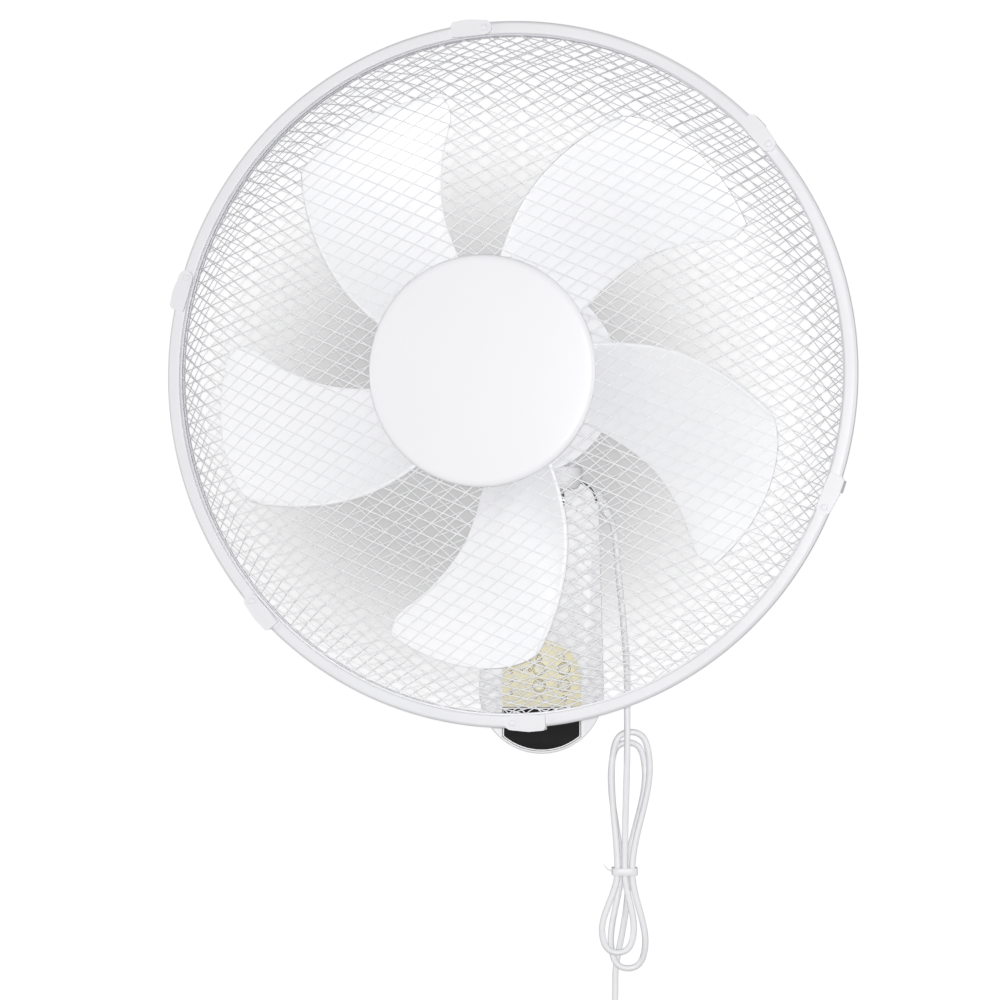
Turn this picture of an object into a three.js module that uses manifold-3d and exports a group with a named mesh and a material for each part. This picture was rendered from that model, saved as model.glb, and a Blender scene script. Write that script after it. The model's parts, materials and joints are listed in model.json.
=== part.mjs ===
// Wall mounted fan, 40 cm class: a small control body on the wall, a neck that tilts, and a head that swings.
// Millimetres, +Z up. The wall is the plane Y = 0 and the fan looks along -Y. The origin is the middle of
// the wall plate's back face. In the head, "forward" is the distance in front of the plane of the rim.
import * as THREE from "three";
import { mergeVertices } from "three/addons/utils/BufferGeometryUtils.js";
import Module from "manifold-3d";

const wasm = await Module();
wasm.setup();

// ---------------------------------------------------------------- driving dimensions

const clearance = 0.3; // between pieces that touch
const smallestStep = 0.03; // finer detail is dropped after pieces are joined or cut
const wallThickness = 2.2; // of every moulded shell

// Control body on the wall
const bodyRise = 14; // of the body's top above the tilt axis
const bodyBottom = -92;
const bodyLowRadius = 41.8; // the lower end is a half circle
const bodyTopHalfWidth = 38.5;
const shoulderRadius = 16;
const bodyDepth = 72; // from the wall to the front face
const bodySplit = 34; // where the rear shell ends and the front shell starts
const bodyBackGap = 0.6; // the rear shell stays this far off the wall
const frontEdgeInset = 0.9; // how far the front face is drawn in by its rounded edge

// Wall plate and its screw holes
const plateThickness = 2.2;
const plateHalfWidth = 30;
const plateHalfHeight = 68;
const plateHoleRadius = 2.6;
const plateHoleHeight = 48; // above and below the middle
const plateHookWidth = 12;

// Control panel
const panelHalfWidth = 26.3;
const panelArchHeight = -42; // middle of the arch at the panel's top
const panelSplit = -60.6; // where the beige plate ends and the dark window starts
const windowRadius = 40; // lower edge of the window, round the same middle as the body's lower end
const panelThickness = 1;
const panelProud = 0.3;
const keyRadius = 3.2;
const keyTravel = 0.6;
const keyPitchAcross = 16.8;
const keyPitchDown = 11.3;
const keyFirst = { x: 15, z: -35 };
const boardThickness = 1.6;
const boardHalfWidth = 24.5;
const boardTop = -20;
const boardBottom = -80;
const boardSetback = 12.3; // from the body's front face back to the board's
const switchSize = 6;
const switchHeight = 3;

// Tilt joint
const tiltDepth = 44; // the tilt axis, from the wall
const tiltHeight = 78;
const tiltPinRadius = 4;
const knuckleRadius = 11;
const knuckleHalfWidth = 14;
const earThickness = 4;
const slotDrop = 13; // from the tilt axis to the bottom of the notch that the neck's arm dips into

// Neck and pan joint
const panDepth = 115; // the pan axis, from the wall
const motorHeight = 156; // the motor axis above the middle of the wall plate
const gearCaseDrop = 55.7; // from the motor axis to the bottom of the gear case
const cupRadius = 26;
const cupHeight = 16;
const panPinRadius = 6;
const panPinDepth = 12; // how far the pan pin reaches into the cup
const panPinRise = 7.5; // and how far above it

// Head
const rimReach = 108; // plane of the rim in front of the pan axis
const panRest = -13; // degrees: the head is turned to the viewer's left
const coverRadius = 46;
const coverFront = -62;
const coverRear = -150;
const gearCaseRadius = 18;
const shaftRadius = 4;
const bossRadius = 16; // threaded boss that carries the rear guard
const bossLength = 14;
const plateStep = 6; // from the cover's edge to the front plate's face
const guardNutRadius = 30;
const guardNutLength = 7;
const seatThickness = 1.6; // of the rear guard's middle, where the nut holds it
const motorSides = 18; // the motor's round pieces fit into each other, so they share this
const statorFront = -72;
const statorRear = -108;
const rotorRadius = 14;
const bearingRadius = 9;
const bearingWidth = 7;

// Guards and rim
const rimOuterRadius = 220;
const rimWidth = 8; // of the ring, seen from the front
const rimFront = 6;
const rimBack = -1;
const rimThickness = 2.2;
const guardInset = 1.8; // from the ring's inner edge to where the mesh meets its flange
const flangeThickness = 2.6;
const frontDepth = 65; // height of the front dome
const rearDepth = 52;
const domeExponent = 2.5;
const meshPitchA = 56; // between wires that fall to the right
const meshPitchB = 52; // between wires that climb to the right
const meshAngleA = -22.5;
const meshAngleB = 40;
const wireWidth = 2.4;
const wireThickness = 1.6;
const frontHoleRadius = 61; // ring in the middle of the front guard
const rearPlateRadius = 58;
const capRadius = 70.4;
const capBack = 65.2;
const capThickness = 3.4;
const capCrown = 2.2;

// Clips on the rim
const clipAngles = [-3.2, 50, 112.4, 178.5, 229, 287]; // clockwise from the top, seen from the front
const clipLength = 26;
const clipEnd = 4.8; // from the rivet to the near end
const clipHalfWidth = 4.6;
const clipThickness = 1.9;
const clipInset = 3.6; // from the ring's outer edge to the rivets
const clipLip = 1.7;
const rivetRadius = 1.2;
const rivetHeadRadius = 2;

// Impeller
const bladeCount = 5;
const bladeFirstAngle = -30; // clockwise from the top
const hubRadius = 38;
const hubFront = 40;
const hubBack = -16;
const bladeThickness = 2.6;
const nutRadius = 17;

// Cord
const cordDiameter = 4.3;
const hankMiddle = { x: 57.6, y: -20 };
const hankWaist = -176.5;
const strandPitch = 5;
const layerPitch = 5.6;

// ---------------------------------------------------------------- making closed bodies

const radians = THREE.MathUtils.degToRad;
const boardDepth = bodyDepth - boardSetback; // front face of the board, from the wall
const bodyTop = tiltHeight + bodyRise;
const slotFloor = tiltHeight - slotDrop;
const cupTop = motorHeight - gearCaseDrop - clearance;
const cupBottom = cupTop - cupHeight;
const panPinLow = cupTop - panPinDepth;
const panPinHigh = cupTop + panPinRise;
const rimInnerRadius = rimOuterRadius - rimWidth;
const guardRadius = rimInnerRadius - guardInset;
const clipRadius = rimOuterRadius - clipInset; // the rivets' circle
const ahead = (forward) => -(rimReach + forward); // local Y of a place in the head
const bodyLowMiddle = bodyBottom + bodyLowRadius;

function signedVolume(geometry) {
  const p = geometry.attributes.position;
  const index = geometry.index.array;
  const [a, b, c] = [new THREE.Vector3(), new THREE.Vector3(), new THREE.Vector3()];
  let sum = 0;
  for (let i = 0; i < index.length; i += 3) {
    a.fromBufferAttribute(p, index[i]);
    b.fromBufferAttribute(p, index[i + 1]);
    c.fromBufferAttribute(p, index[i + 2]);
    sum += a.dot(b.cross(c));
  }
  return sum;
}

// Merges shared vertices, drops empty triangles and turns the faces outwards.
function closed(source) {
  const bare = source.index ? source.toNonIndexed() : source.clone();
  bare.deleteAttribute("normal");
  bare.deleteAttribute("uv");
  const merged = mergeVertices(bare, 1e-4);
  const old = merged.index.array;
  const kept = [];
  for (let i = 0; i < old.length; i += 3) {
    const [a, b, c] = [old[i], old[i + 1], old[i + 2]];
    if (a !== b && b !== c && c !== a) kept.push(a, b, c);
  }
  merged.setIndex(kept);
  if (signedVolume(merged) < 0) {
    for (let i = 0; i < kept.length; i += 3) [kept[i], kept[i + 1]] = [kept[i + 1], kept[i]];
    merged.setIndex(kept);
  }
  return merged;
}

function toSolid(geometry) {
  const g = closed(geometry);
  return new wasm.Manifold(new wasm.Mesh({
    numProp: 3,
    vertProperties: new Float32Array(g.attributes.position.array),
    triVerts: new Uint32Array(g.index.array),
  }));
}

function toGeometry(solid) {
  const mesh = solid.simplify(smallestStep).getMesh();
  const g = new THREE.BufferGeometry();
  g.setAttribute("position", new THREE.BufferAttribute(new Float32Array(mesh.vertProperties), 3));
  g.setIndex(Array.from(mesh.triVerts));
  return g;
}

const join = (...parts) => toGeometry(parts.map(toSolid).reduce((a, b) => a.add(b)));
const cut = (part, ...tools) => toGeometry(tools.map(toSolid).reduce((a, b) => a.subtract(b), toSolid(part)));
const trim = (part, region) => toGeometry(toSolid(part).intersect(toSolid(region)));

// Turns a closed profile of [radius, height] round the Y axis.
function revolve(profile, segments = 48) {
  const first = profile[0];
  const last = profile[profile.length - 1];
  const open = first[0] !== 0 || last[0] !== 0;
  const points = (open ? [...profile, first] : profile).map(([r, y]) => new THREE.Vector2(r, y));
  return closed(new THREE.LatheGeometry(points, segments));
}

// The same in the head: a profile of [radius, forward].
const turned = (profile, segments) => revolve(profile.map(([r, f]) => [r, ahead(f)]), segments);

// Joins rings of equally many points into one body with flat ends.
function loft(rings) {
  const count = rings[0].length;
  const position = rings.flat().flatMap((p) => [p.x, p.y, p.z]);
  const index = [];
  for (let k = 0; k + 1 < rings.length; k++) {
    for (let i = 0; i < count; i++) {
      const j = (i + 1) % count;
      const [a, b, c, d] = [k * count + i, k * count + j, (k + 1) * count + j, (k + 1) * count + i];
      index.push(a, b, c, a, c, d);
    }
  }
  const spans = ["x", "y", "z"].map((axis) => {
    const values = rings[0].map((p) => p[axis]);
    return Math.max(...values) - Math.min(...values);
  });
  const flat = ["x", "y", "z"].filter((_, i) => spans[i] !== Math.min(...spans));
  const flattened = (ring) => ring.map((p) => new THREE.Vector2(p[flat[0]], p[flat[1]]));
  const capOf = (ring) => THREE.ShapeUtils.triangulateShape(flattened(ring), []);
  const end = (rings.length - 1) * count;
  const turn = THREE.ShapeUtils.area(flattened(rings[0])) > 0;
  for (const [a, b, c] of capOf(rings[0])) index.push(...(turn ? [a, c, b] : [c, a, b]));
  for (const triangle of capOf(rings[rings.length - 1])) {
    const [a, b, c] = triangle.map((k) => end + k);
    index.push(...(turn ? [a, b, c] : [b, a, c]));
  }
  const g = new THREE.BufferGeometry();
  g.setAttribute("position", new THREE.BufferAttribute(new Float32Array(position), 3));
  g.setIndex(index);
  return closed(g);
}

// Extrudes a shape drawn in X and Z from one depth in front of the wall to another.
function upright(shape, from, to, curveSegments = 12) {
  const g = new THREE.ExtrudeGeometry(shape, { depth: to - from, bevelEnabled: false, curveSegments });
  g.rotateX(Math.PI / 2);
  g.translate(0, -from, 0);
  return closed(g);
}

function rod(radius, from, to, segments = 16) {
  const along = to.clone().sub(from);
  const g = new THREE.CylinderGeometry(radius, radius, along.length(), segments);
  g.applyQuaternion(new THREE.Quaternion().setFromUnitVectors(new THREE.Vector3(0, 1, 0), along.clone().normalize()));
  g.translate(...from.clone().add(to).multiplyScalar(0.5).toArray());
  return closed(g);
}

// A block between two corners.
function block(x0, x1, y0, y1, z0, z1) {
  const g = new THREE.BoxGeometry(x1 - x0, y1 - y0, z1 - z0);
  g.translate((x0 + x1) / 2, (y0 + y1) / 2, (z0 + z1) / 2);
  return closed(g);
}

const at = (x, y, z) => new THREE.Vector3(x, y, z);
const moved = (geometry, x, y, z) => closed(geometry.clone().translate(x, y, z));

// ---------------------------------------------------------------- colours

const paint = (color, roughness = 0.45, metalness = 0) => new THREE.MeshStandardMaterial({ color, roughness, metalness });
const looks = {
  shell: paint(0xe9e9eb, 0.45),
  blade: paint(0xf3f4f6, 0.35),
  wire: paint(0xe6e6ea, 0.4),
  beige: paint(0xe2dbb9, 0.5),
  dark: paint(0x101011, 0.2),
  steel: paint(0xb4b6b9, 0.35, 0.9),
  zinc: paint(0xc9cacc, 0.4, 0.8),
  copper: paint(0xb87445, 0.4, 0.8),
  board: paint(0x2f6b46, 0.6),
  cord: paint(0xeeeef0, 0.5),
  brass: paint(0xc8a557, 0.35, 0.9),
  black: paint(0x1c1c1e, 0.6),
  key: paint(0xd9d2b2, 0.5),
};

const fan = new THREE.Group();
const neck = new THREE.Group(); // tilts about X through its own origin
const head = new THREE.Group(); // swings about Z through its own origin
neck.position.set(0, -tiltDepth, tiltHeight);
head.position.set(0, tiltDepth - panDepth, motorHeight - tiltHeight);
head.rotation.z = radians(panRest);
neck.add(head);
fan.add(neck);

function add(group, name, geometry, material) {
  const mesh = new THREE.Mesh(geometry, material);
  mesh.name = name;
  group.add(mesh);
  return mesh;
}

// ---------------------------------------------------------------- control body

// Points of the body's outline, drawn in by an inset, at a depth from the wall.
function bodyRing(inset, depth) {
  const low = bodyLowRadius - inset;
  const half = bodyTopHalfWidth - inset;
  const round = shoulderRadius - inset;
  const top = bodyTop - inset;
  const points = [];
  for (let k = 0; k <= 16; k++) {
    const a = Math.PI + (Math.PI * k) / 16;
    points.push(at(low * Math.cos(a), -depth, bodyLowMiddle + low * Math.sin(a)));
  }
  for (const side of [1, -1]) {
    for (let k = 0; k <= 4; k++) {
      const a = (Math.PI / 2) * (side > 0 ? k / 4 : 1 - k / 4);
      points.push(at(side * (half - round + round * Math.cos(a)), -depth, top - round + round * Math.sin(a)));
    }
  }
  return points;
}

function wallPlate() {
  const shape = new THREE.Shape();
  const corner = 8;
  shape.moveTo(-plateHalfWidth + corner, -plateHalfHeight);
  shape.lineTo(plateHalfWidth - corner, -plateHalfHeight);
  shape.lineTo(plateHalfWidth, -plateHalfHeight + corner);
  shape.lineTo(plateHalfWidth, plateHalfHeight - corner);
  shape.lineTo(plateHalfWidth - corner, plateHalfHeight);
  shape.lineTo(-plateHalfWidth + corner, plateHalfHeight);
  shape.lineTo(-plateHalfWidth, plateHalfHeight - corner);
  shape.lineTo(-plateHalfWidth, -plateHalfHeight + corner);
  for (const z of [-plateHoleHeight, plateHoleHeight]) {
    shape.holes.push(new THREE.Path().absarc(0, z, plateHoleRadius, 0, 2 * Math.PI, true));
  }
  const plate = upright(shape, 0, plateThickness, 8);
  // Two hooks reach through the rear shell's floor and turn up behind it.
  const hookRoot = plateThickness - 0.5;
  const hookTip = floorFront + clearance;
  const hooks = [-1, 1].flatMap((side) => {
    const [x0, x1] = [side * 18 - plateHookWidth / 2, side * 18 + plateHookWidth / 2];
    return [
      block(x0, x1, -hookTip - plateThickness, -hookRoot, hookHeight, hookHeight + plateThickness),
      block(x0, x1, -hookTip - plateThickness, -hookTip, hookHeight, hookHeight + 8),
    ];
  });
  return join(plate, ...hooks);
}

const floorBack = plateThickness + bodyBackGap; // the rear shell's floor, from the wall
const floorFront = floorBack + wallThickness;
const hookHeight = 22;
const screwPlaces = [-1, 1].map((side) => at(side * 31, 0, -25));
const screwShank = 1.6;
const screwHead = 3.2;
const screwBoss = 4.6;
const screwDepth = bodySplit + 12;

// Where the cord leaves the right shoulder, and which way it points.
const exitPoint = at(38.5, -20, 81.5);
const exitDirection = at(0.48, 0, -0.877).normalize();
const exitBossRadius = 6;
const grommetRadius = 3.9;
const along = (distance) => exitPoint.clone().addScaledVector(exitDirection, distance);

function rearShell() {
  const outer = loft([bodyRing(0.6, bodyBackGap), bodyRing(0, bodyBackGap + 1), bodyRing(0, bodySplit)]);
  const room = loft([bodyRing(wallThickness, floorFront), bodyRing(wallThickness, bodySplit + 1)]);
  const recess = loft([bodyRing(wallThickness, -1), bodyRing(wallThickness, floorBack)]);
  const bosses = screwPlaces.map(({ x, z }) => rod(screwBoss, at(x, -floorFront + 0.5, z), at(x, -bodySplit, z), 16));
  const shanks = screwPlaces.map(({ x, z }) => rod(screwShank + clearance, at(x, 1, z), at(x, -bodySplit - 1, z), 12));
  const heads = screwPlaces.map(({ x, z }) => rod(screwHead + clearance, at(x, 1, z), at(x, -floorBack - 3.4, z), 16));
  const ears = [-1, 1].map((side) => {
    const inner = knuckleHalfWidth + clearance;
    const [x0, x1] = side > 0 ? [inner, inner + earThickness] : [-inner - earThickness, -inner];
    return block(x0, x1, -tiltDepth - 8, -floorFront + 0.5, tiltHeight - 10, tiltHeight + 10);
  });
  const slotHalf = plateHookWidth / 2 + 1;
  const hookSlots = [-1, 1].map((side) =>
    block(side * 18 - slotHalf, side * 18 + slotHalf, -floorFront - 1, 1, hookHeight - 1, hookHeight + 10));
  const bossReach = along(5);
  const exitBoss = rod(exitBossRadius, along(-4), bossReach, 14);
  const exitPad = trim(rod(exitBossRadius + 2, along(-4), along(18), 14), outer);
  const exitBore = rod(grommetRadius + clearance, along(-3), along(7), 14);
  const exitGroove = rod(exitBossRadius, bossReach, along(40), 14);
  const exitWay = rod(grommetRadius, at(18, exitPoint.y, 79), along(-1), 12);
  const pinHole = rod(tiltPinRadius + clearance, at(-40, -tiltDepth, tiltHeight), at(40, -tiltDepth, tiltHeight), 16);
  const shell = join(cut(outer, room, recess), ...bosses, ...ears, exitBoss, exitPad);
  return cut(shell, ...shanks, ...heads, ...hookSlots, exitBore, exitGroove, exitWay, pinHole);
}

// Outline of the panel: an arch above, an arc round the body's lower middle below.
function panelShape(grow, from, to) {
  const half = panelHalfWidth + grow;
  const shape = new THREE.Shape();
  const low = windowRadius + grow;
  const corner = Math.acos(half / low);
  if (from === "window") {
    shape.absarc(0, bodyLowMiddle, low, -corner, -Math.PI + corner, true);
  } else {
    shape.moveTo(half, panelSplit + clearance / 2);
    shape.lineTo(-half, panelSplit + clearance / 2);
  }
  if (to === "arch") {
    shape.absarc(0, panelArchHeight, half, Math.PI, 0, true);
  } else {
    shape.lineTo(-half, panelSplit - clearance / 2);
    shape.lineTo(half, panelSplit - clearance / 2);
  }
  return shape;
}

const keyNames = ["power", "speed", "timer", "swing"];
const keyPlaces = keyNames.map((name, i) => ({
  name,
  x: keyFirst.x - keyPitchAcross * (i % 2),
  z: keyFirst.z - keyPitchDown * Math.floor(i / 2),
}));
const panelBack = bodyDepth + panelProud - panelThickness;
const frontWall = bodyDepth - 2.6; // inner side of the front face
const boardPosts = [[-21, -24], [21, -24], [-21, -76], [21, -76]];

function frontShell() {
  const start = bodySplit + clearance;
  const outer = loft([
    bodyRing(0, start),
    bodyRing(0, bodyDepth - 1.4),
    bodyRing(frontEdgeInset * 0.35, bodyDepth - 0.5),
    bodyRing(frontEdgeInset, bodyDepth),
  ]);
  const room = loft([bodyRing(wallThickness, start - 1), bodyRing(wallThickness, frontWall)]);
  const recess = upright(panelShape(clearance, "window", "arch"), panelBack - clearance, bodyDepth + 1, 16);
  const bosses = screwPlaces.map(({ x, z }) => rod(screwBoss, at(x, -start, z), at(x, -frontWall - 0.5, z), 16));
  const shanks = screwPlaces.map(({ x, z }) => rod(screwShank + clearance, at(x, -start + 1, z), at(x, -screwDepth - 1, z), 12));
  const posts = boardPosts.map(([x, z]) => rod(2.4, at(x, -boardDepth - clearance, z), at(x, -frontWall - 0.5, z), 10));
  const keyHoles = keyPlaces.map(({ x, z }) => rod(keyRadius + 0.5, at(x, -frontWall + 1, z), at(x, -bodyDepth - 1, z), 12));
  const eyeHole = rod(5.5, at(0, -frontWall + 1, eyePlace), at(0, -bodyDepth - 1, eyePlace), 12);
  const half = knuckleHalfWidth + 1.2;
  const slot = block(-half, half, -bodyDepth - 1, -start + 1, slotFloor, bodyTop + 1);
  const shell = join(cut(outer, room), ...bosses, ...posts);
  return cut(shell, recess, ...shanks, ...keyHoles, eyeHole, slot);
}

const eyePlace = -73;

function controlLabel() {
  const plate = upright(panelShape(0, "label", "arch"), panelBack, bodyDepth + panelProud, 12);
  const holes = keyPlaces.map(({ x, z }) => rod(keyRadius + clearance, at(x, 0, z), at(x, -bodyDepth - 5, z), 12));
  return cut(plate, ...holes);
}

const receiverWindow = () => upright(panelShape(0, "window", "window"), panelBack, bodyDepth + panelProud, 16);

// A key is a round cap with a flange behind the front wall and a stem to its switch.
function keyCap({ x, z }) {
  const front = bodyDepth + panelProud + 0.7;
  const flangeFront = frontWall - clearance;
  const stemEnd = boardDepth + clearance + switchHeight + 1 + keyTravel + clearance;
  const profile = [
    [0, -front], [keyRadius - 0.5, -front], [keyRadius, -front + 0.5], [keyRadius, -flangeFront],
    [keyRadius + 1.2, -flangeFront], [keyRadius + 1.2, -flangeFront + 1.2], [1.4, -flangeFront + 1.2],
    [1.4, -stemEnd], [0, -stemEnd],
  ];
  return moved(revolve(profile, 12), x, 0, z);
}

function keySwitch({ x, z }) {
  const back = boardDepth + clearance;
  const half = switchSize / 2;
  const base = block(x - half, x + half, -back - switchHeight, -back, z - half, z + half);
  const plunger = rod(1.7, at(x, -back - switchHeight + 0.5, z), at(x, -back - switchHeight - 1, z), 12);
  return join(base, plunger);
}

function controlBoard() {
  const shape = new THREE.Shape();
  const corner = 4;
  shape.moveTo(-boardHalfWidth + corner, boardBottom);
  shape.lineTo(boardHalfWidth - corner, boardBottom);
  shape.lineTo(boardHalfWidth, boardBottom + corner);
  shape.lineTo(boardHalfWidth, boardTop);
  shape.lineTo(-boardHalfWidth, boardTop);
  shape.lineTo(-boardHalfWidth, boardBottom + corner);
  return upright(shape, boardDepth - boardThickness, boardDepth, 4);
}

function receiverEye() {
  const back = boardDepth + clearance;
  const body = block(-3.5, 3.5, -back - 4, -back, eyePlace - 3.5, eyePlace + 3.5);
  const lens = new THREE.SphereGeometry(2.8, 8, 6);
  lens.translate(0, -back - 4, eyePlace);
  return join(body, lens);
}

function runCapacitor() {
  const [half, height, depth, chamfer] = [17, 23, 15, 2];
  const ring = (inset, y) => [
    [-half + inset, 0], [half - inset, 0], [half - inset, height], [-half + inset, height],
  ].map(([x, z]) => at(x, y, -8 + z + (z ? -inset : inset)));
  const back = -floorFront - clearance;
  return loft([ring(0, back), ring(0, back - depth + chamfer), ring(chamfer, back - depth)]);
}

function bodyScrew({ x, z }) {
  const head = floorBack + 0.8;
  const profile = [[0, -head], [screwHead, -head], [screwHead, -head - 2.2], [screwShank, -head - 2.2],
    [screwShank, -screwDepth + 0.6], [0.8, -screwDepth], [0, -screwDepth]];
  return moved(revolve(profile, 12), x, 0, z);
}

// Strain relief: a plug in the boss, a collar and a tapered tail.
const grommetTip = 17;
function cordGrommet() {
  const profile = [[0, -2], [grommetRadius, -2], [grommetRadius, 5 + clearance], [exitBossRadius - 0.6, 5 + clearance],
    [exitBossRadius - 0.6, 7], [3.9, 7.4], [cordDiameter / 2 + 0.55, grommetTip], [0, grommetTip]];
  const g = revolve(profile, 14);
  g.applyQuaternion(new THREE.Quaternion().setFromUnitVectors(at(0, 1, 0), exitDirection));
  return moved(g, ...exitPoint.toArray());
}

// ---------------------------------------------------------------- cord

class Route extends THREE.Curve {
  constructor(points) {
    super();
    this.inner = new THREE.CatmullRomCurve3(points, false, "centripetal");
  }
  getPoint(t) {
    return this.inner.getPoint(t);
  }
}

function tube(points, steps, sides) {
  const section = new THREE.Shape();
  for (let k = 0; k < sides; k++) {
    const a = (2 * Math.PI * k) / sides;
    const [x, y] = [(cordDiameter / 2) * Math.cos(a), (cordDiameter / 2) * Math.sin(a)];
    if (k) section.lineTo(x, y);
    else section.moveTo(x, y);
  }
  return closed(new THREE.ExtrudeGeometry(section, { steps, bevelEnabled: false, extrudePath: new Route(points) }));
}

// Straight stretch at the end of a route, square to the piece that it meets.
const runStart = along(grommetTip + clearance);
const hankTop = at(59, -28.6, -70);
const runPoints = [
  runStart, along(grommetTip + 2.5), along(grommetTip + 5), at(50.9, -20.1, 54), at(51.9, -20.4, 45),
  at(52.5, -20.8, 36),
  at(54.2, -21.6, 18.5), at(55.8, -22.8, 2.7), at(57.1, -24.4, -12.3), at(58.2, -26.3, -26.7), at(58.9, -27.8, -41.7),
  at(59, -28.6, -55), at(59, -28.6, -62), at(59, -28.6, -66), hankTop,
];

const smooth = (from, to, value) => THREE.MathUtils.smoothstep(value, from, to);

// Places of the strands in the tie, from the hank's middle: the order in which the cord passes it.
const front = -layerPitch / 2;
const back = layerPitch / 2;
const strands = [
  { x: 0, y: front }, { x: -strandPitch, y: front }, { x: strandPitch, y: front },
  { x: -strandPitch / 2, y: back }, { x: strandPitch / 2, y: back },
];
const loops = [
  { from: 0, to: 1, reach: -55.4, middle: -4.8, halfWidth: 12.4, side: 1 },
  { from: 1, to: 2, reach: 95.6, middle: 4.1, halfWidth: 14.2, side: -1 },
  { from: 2, to: 3, reach: -67, middle: 2.4, halfWidth: 13.2, side: 1 },
  { from: 3, to: 4, reach: 88, middle: 2.4, halfWidth: 12.9, side: -1 },
];
const loopSteps = 24;

// One loop of the hank from its strand in the tie to the next: drawn in at the waist and round at its end.
function loopPoints({ from, to, reach, middle, halfWidth, side }) {
  const [start, end] = [strands[from], strands[to]];
  const sharp = Math.sqrt(Math.abs(reach) / halfWidth);
  const points = [];
  for (let k = 1; k < loopSteps; k++) {
    const turn = (Math.PI * k) / loopSteps;
    const [c, h] = [Math.cos(turn), Math.sin(turn)];
    const open = smooth(0, 0.8, h);
    const wide = middle + (side * halfWidth * sharp * c) / Math.sqrt(1 + (sharp * sharp - 1) * c * c);
    const waist = c > 0 ? start.x : end.x;
    const layer = THREE.MathUtils.lerp(start.y, end.y, smooth(0.04, 0.4, (1 - c) / 2));
    const across = THREE.MathUtils.lerp(waist, wide, open);
    points.push(at(hankMiddle.x + across, hankMiddle.y + layer, hankWaist + reach * h));
  }
  return points;
}

const inTie = ({ x, y }, z = hankWaist) => at(hankMiddle.x + x, hankMiddle.y + y, z);
const tailTop = at(51.6, -8.4, -254);
const hankPoints = [
  hankTop.clone().add(at(0, 0, -clearance)), at(59, -28.6, -75), at(59, -28.6, -84), at(58.9, -28.2, -100),
  at(58.3, -26, -125), at(57.8, -23.6, -150), inTie(strands[0], hankWaist + 10), inTie(strands[0]),
  ...loops.flatMap((loop) => [...loopPoints(loop), inTie(strands[loop.to])]),
  at(59.9, -15.6, -190), at(58.6, -12.4, -205), at(56, -9.2, -222), at(53.2, -8.4, -236), at(51.8, -8.4, -246),
  at(51.6, -8.4, -250), tailTop,
];

const tailPoints = [
  tailTop.clone().add(at(0, 0, -clearance)), at(51.6, -8.4, -258), at(51.4, -8.6, -266), at(51, -9.6, -282),
  at(50.7, -11, -300), at(50.6, -12.3, -318), at(50.6, -13, -334), at(50.6, -13, -344), at(50.6, -13, -350),
  at(50.6, -13, -358),
];

// The least gap between stretches of a route that aren't neighbours along it.
function leastGap(points) {
  const curve = new Route(points);
  const length = curve.getLength();
  const count = Math.round(length);
  const places = curve.getSpacedPoints(count);
  const apart = Math.ceil((cordDiameter * 3) / (length / count));
  let least = Infinity;
  for (let i = 0; i <= count; i++) {
    for (let j = i + apart; j <= count; j++) least = Math.min(least, places[i].distanceTo(places[j]));
  }
  return least - cordDiameter;
}

function hankTie() {
  const [height, thick, room] = [5, 1, cordDiameter / 2 + 0.8];
  const [halfX, halfY] = [strandPitch + room, layerPitch / 2 + room];
  const oval = (grow, z) => {
    const points = [];
    for (let k = 0; k < 16; k++) {
      const a = (2 * Math.PI * k) / 16;
      const squash = 1 / Math.pow(Math.abs(Math.cos(a)) ** 4 + Math.abs(Math.sin(a)) ** 4, 0.25);
      const [x, y] = [(halfX + grow) * squash * Math.cos(a), (halfY + grow) * squash * Math.sin(a)];
      points.push(at(hankMiddle.x + x, hankMiddle.y + y, z));
    }
    return points;
  };
  const low = hankWaist - height / 2;
  const inner = loft([oval(0, low - 1), oval(0, low + height + 1)]);
  const band = cut(loft([oval(thick, low), oval(thick, low + height)]), inner);
  const x = hankMiddle.x - halfX;
  const end = (place, z) => [[-1, z], [1, z], [1, z + 3], [-1, z + 3]].map(([y, up]) => at(place, hankMiddle.y + y, up));
  const tail = loft([end(x - thick / 2, low + 1), end(x - 7, low + 6)]);
  return join(band, tail);
}

// Plug: a tapered neck into a flat oblong body, with two flat pins.
const plugTop = -358 - clearance;
const plugMiddle = { x: 50.6, y: -13 };
const plugBladeGap = 12.7;
function plugSection(halfX, halfY, z) {
  const points = [];
  for (let k = 0; k < 16; k++) {
    const a = (2 * Math.PI * k) / 16;
    const squash = 1 / Math.pow(Math.abs(Math.cos(a)) ** 3.2 + Math.abs(Math.sin(a)) ** 3.2, 1 / 3.2);
    const [x, y] = [halfX * squash * Math.cos(a), halfY * squash * Math.sin(a)];
    points.push(at(plugMiddle.x + x, plugMiddle.y + y, plugTop - z));
  }
  return points;
}
const plugBody = () => loft([
  plugSection(3, 2.8, 0), plugSection(4, 3.4, 12), plugSection(10, 5.4, 17), plugSection(11.8, 6.4, 22),
  plugSection(12, 7, 37), plugSection(11.2, 6.4, 38),
]);
function plugBlade(side) {
  const x = plugMiddle.x + (side * plugBladeGap) / 2;
  const [top, tip] = [plugTop - 38 - clearance, plugTop - 55];
  const ring = (half, z) => [at(x - 0.7, plugMiddle.y - half, z), at(x + 0.7, plugMiddle.y - half, z),
    at(x + 0.7, plugMiddle.y + half, z), at(x - 0.7, plugMiddle.y + half, z)];
  return loft([ring(3.1, top), ring(3.1, tip + 1.5), ring(2, tip)]);
}

// ---------------------------------------------------------------- neck

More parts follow.
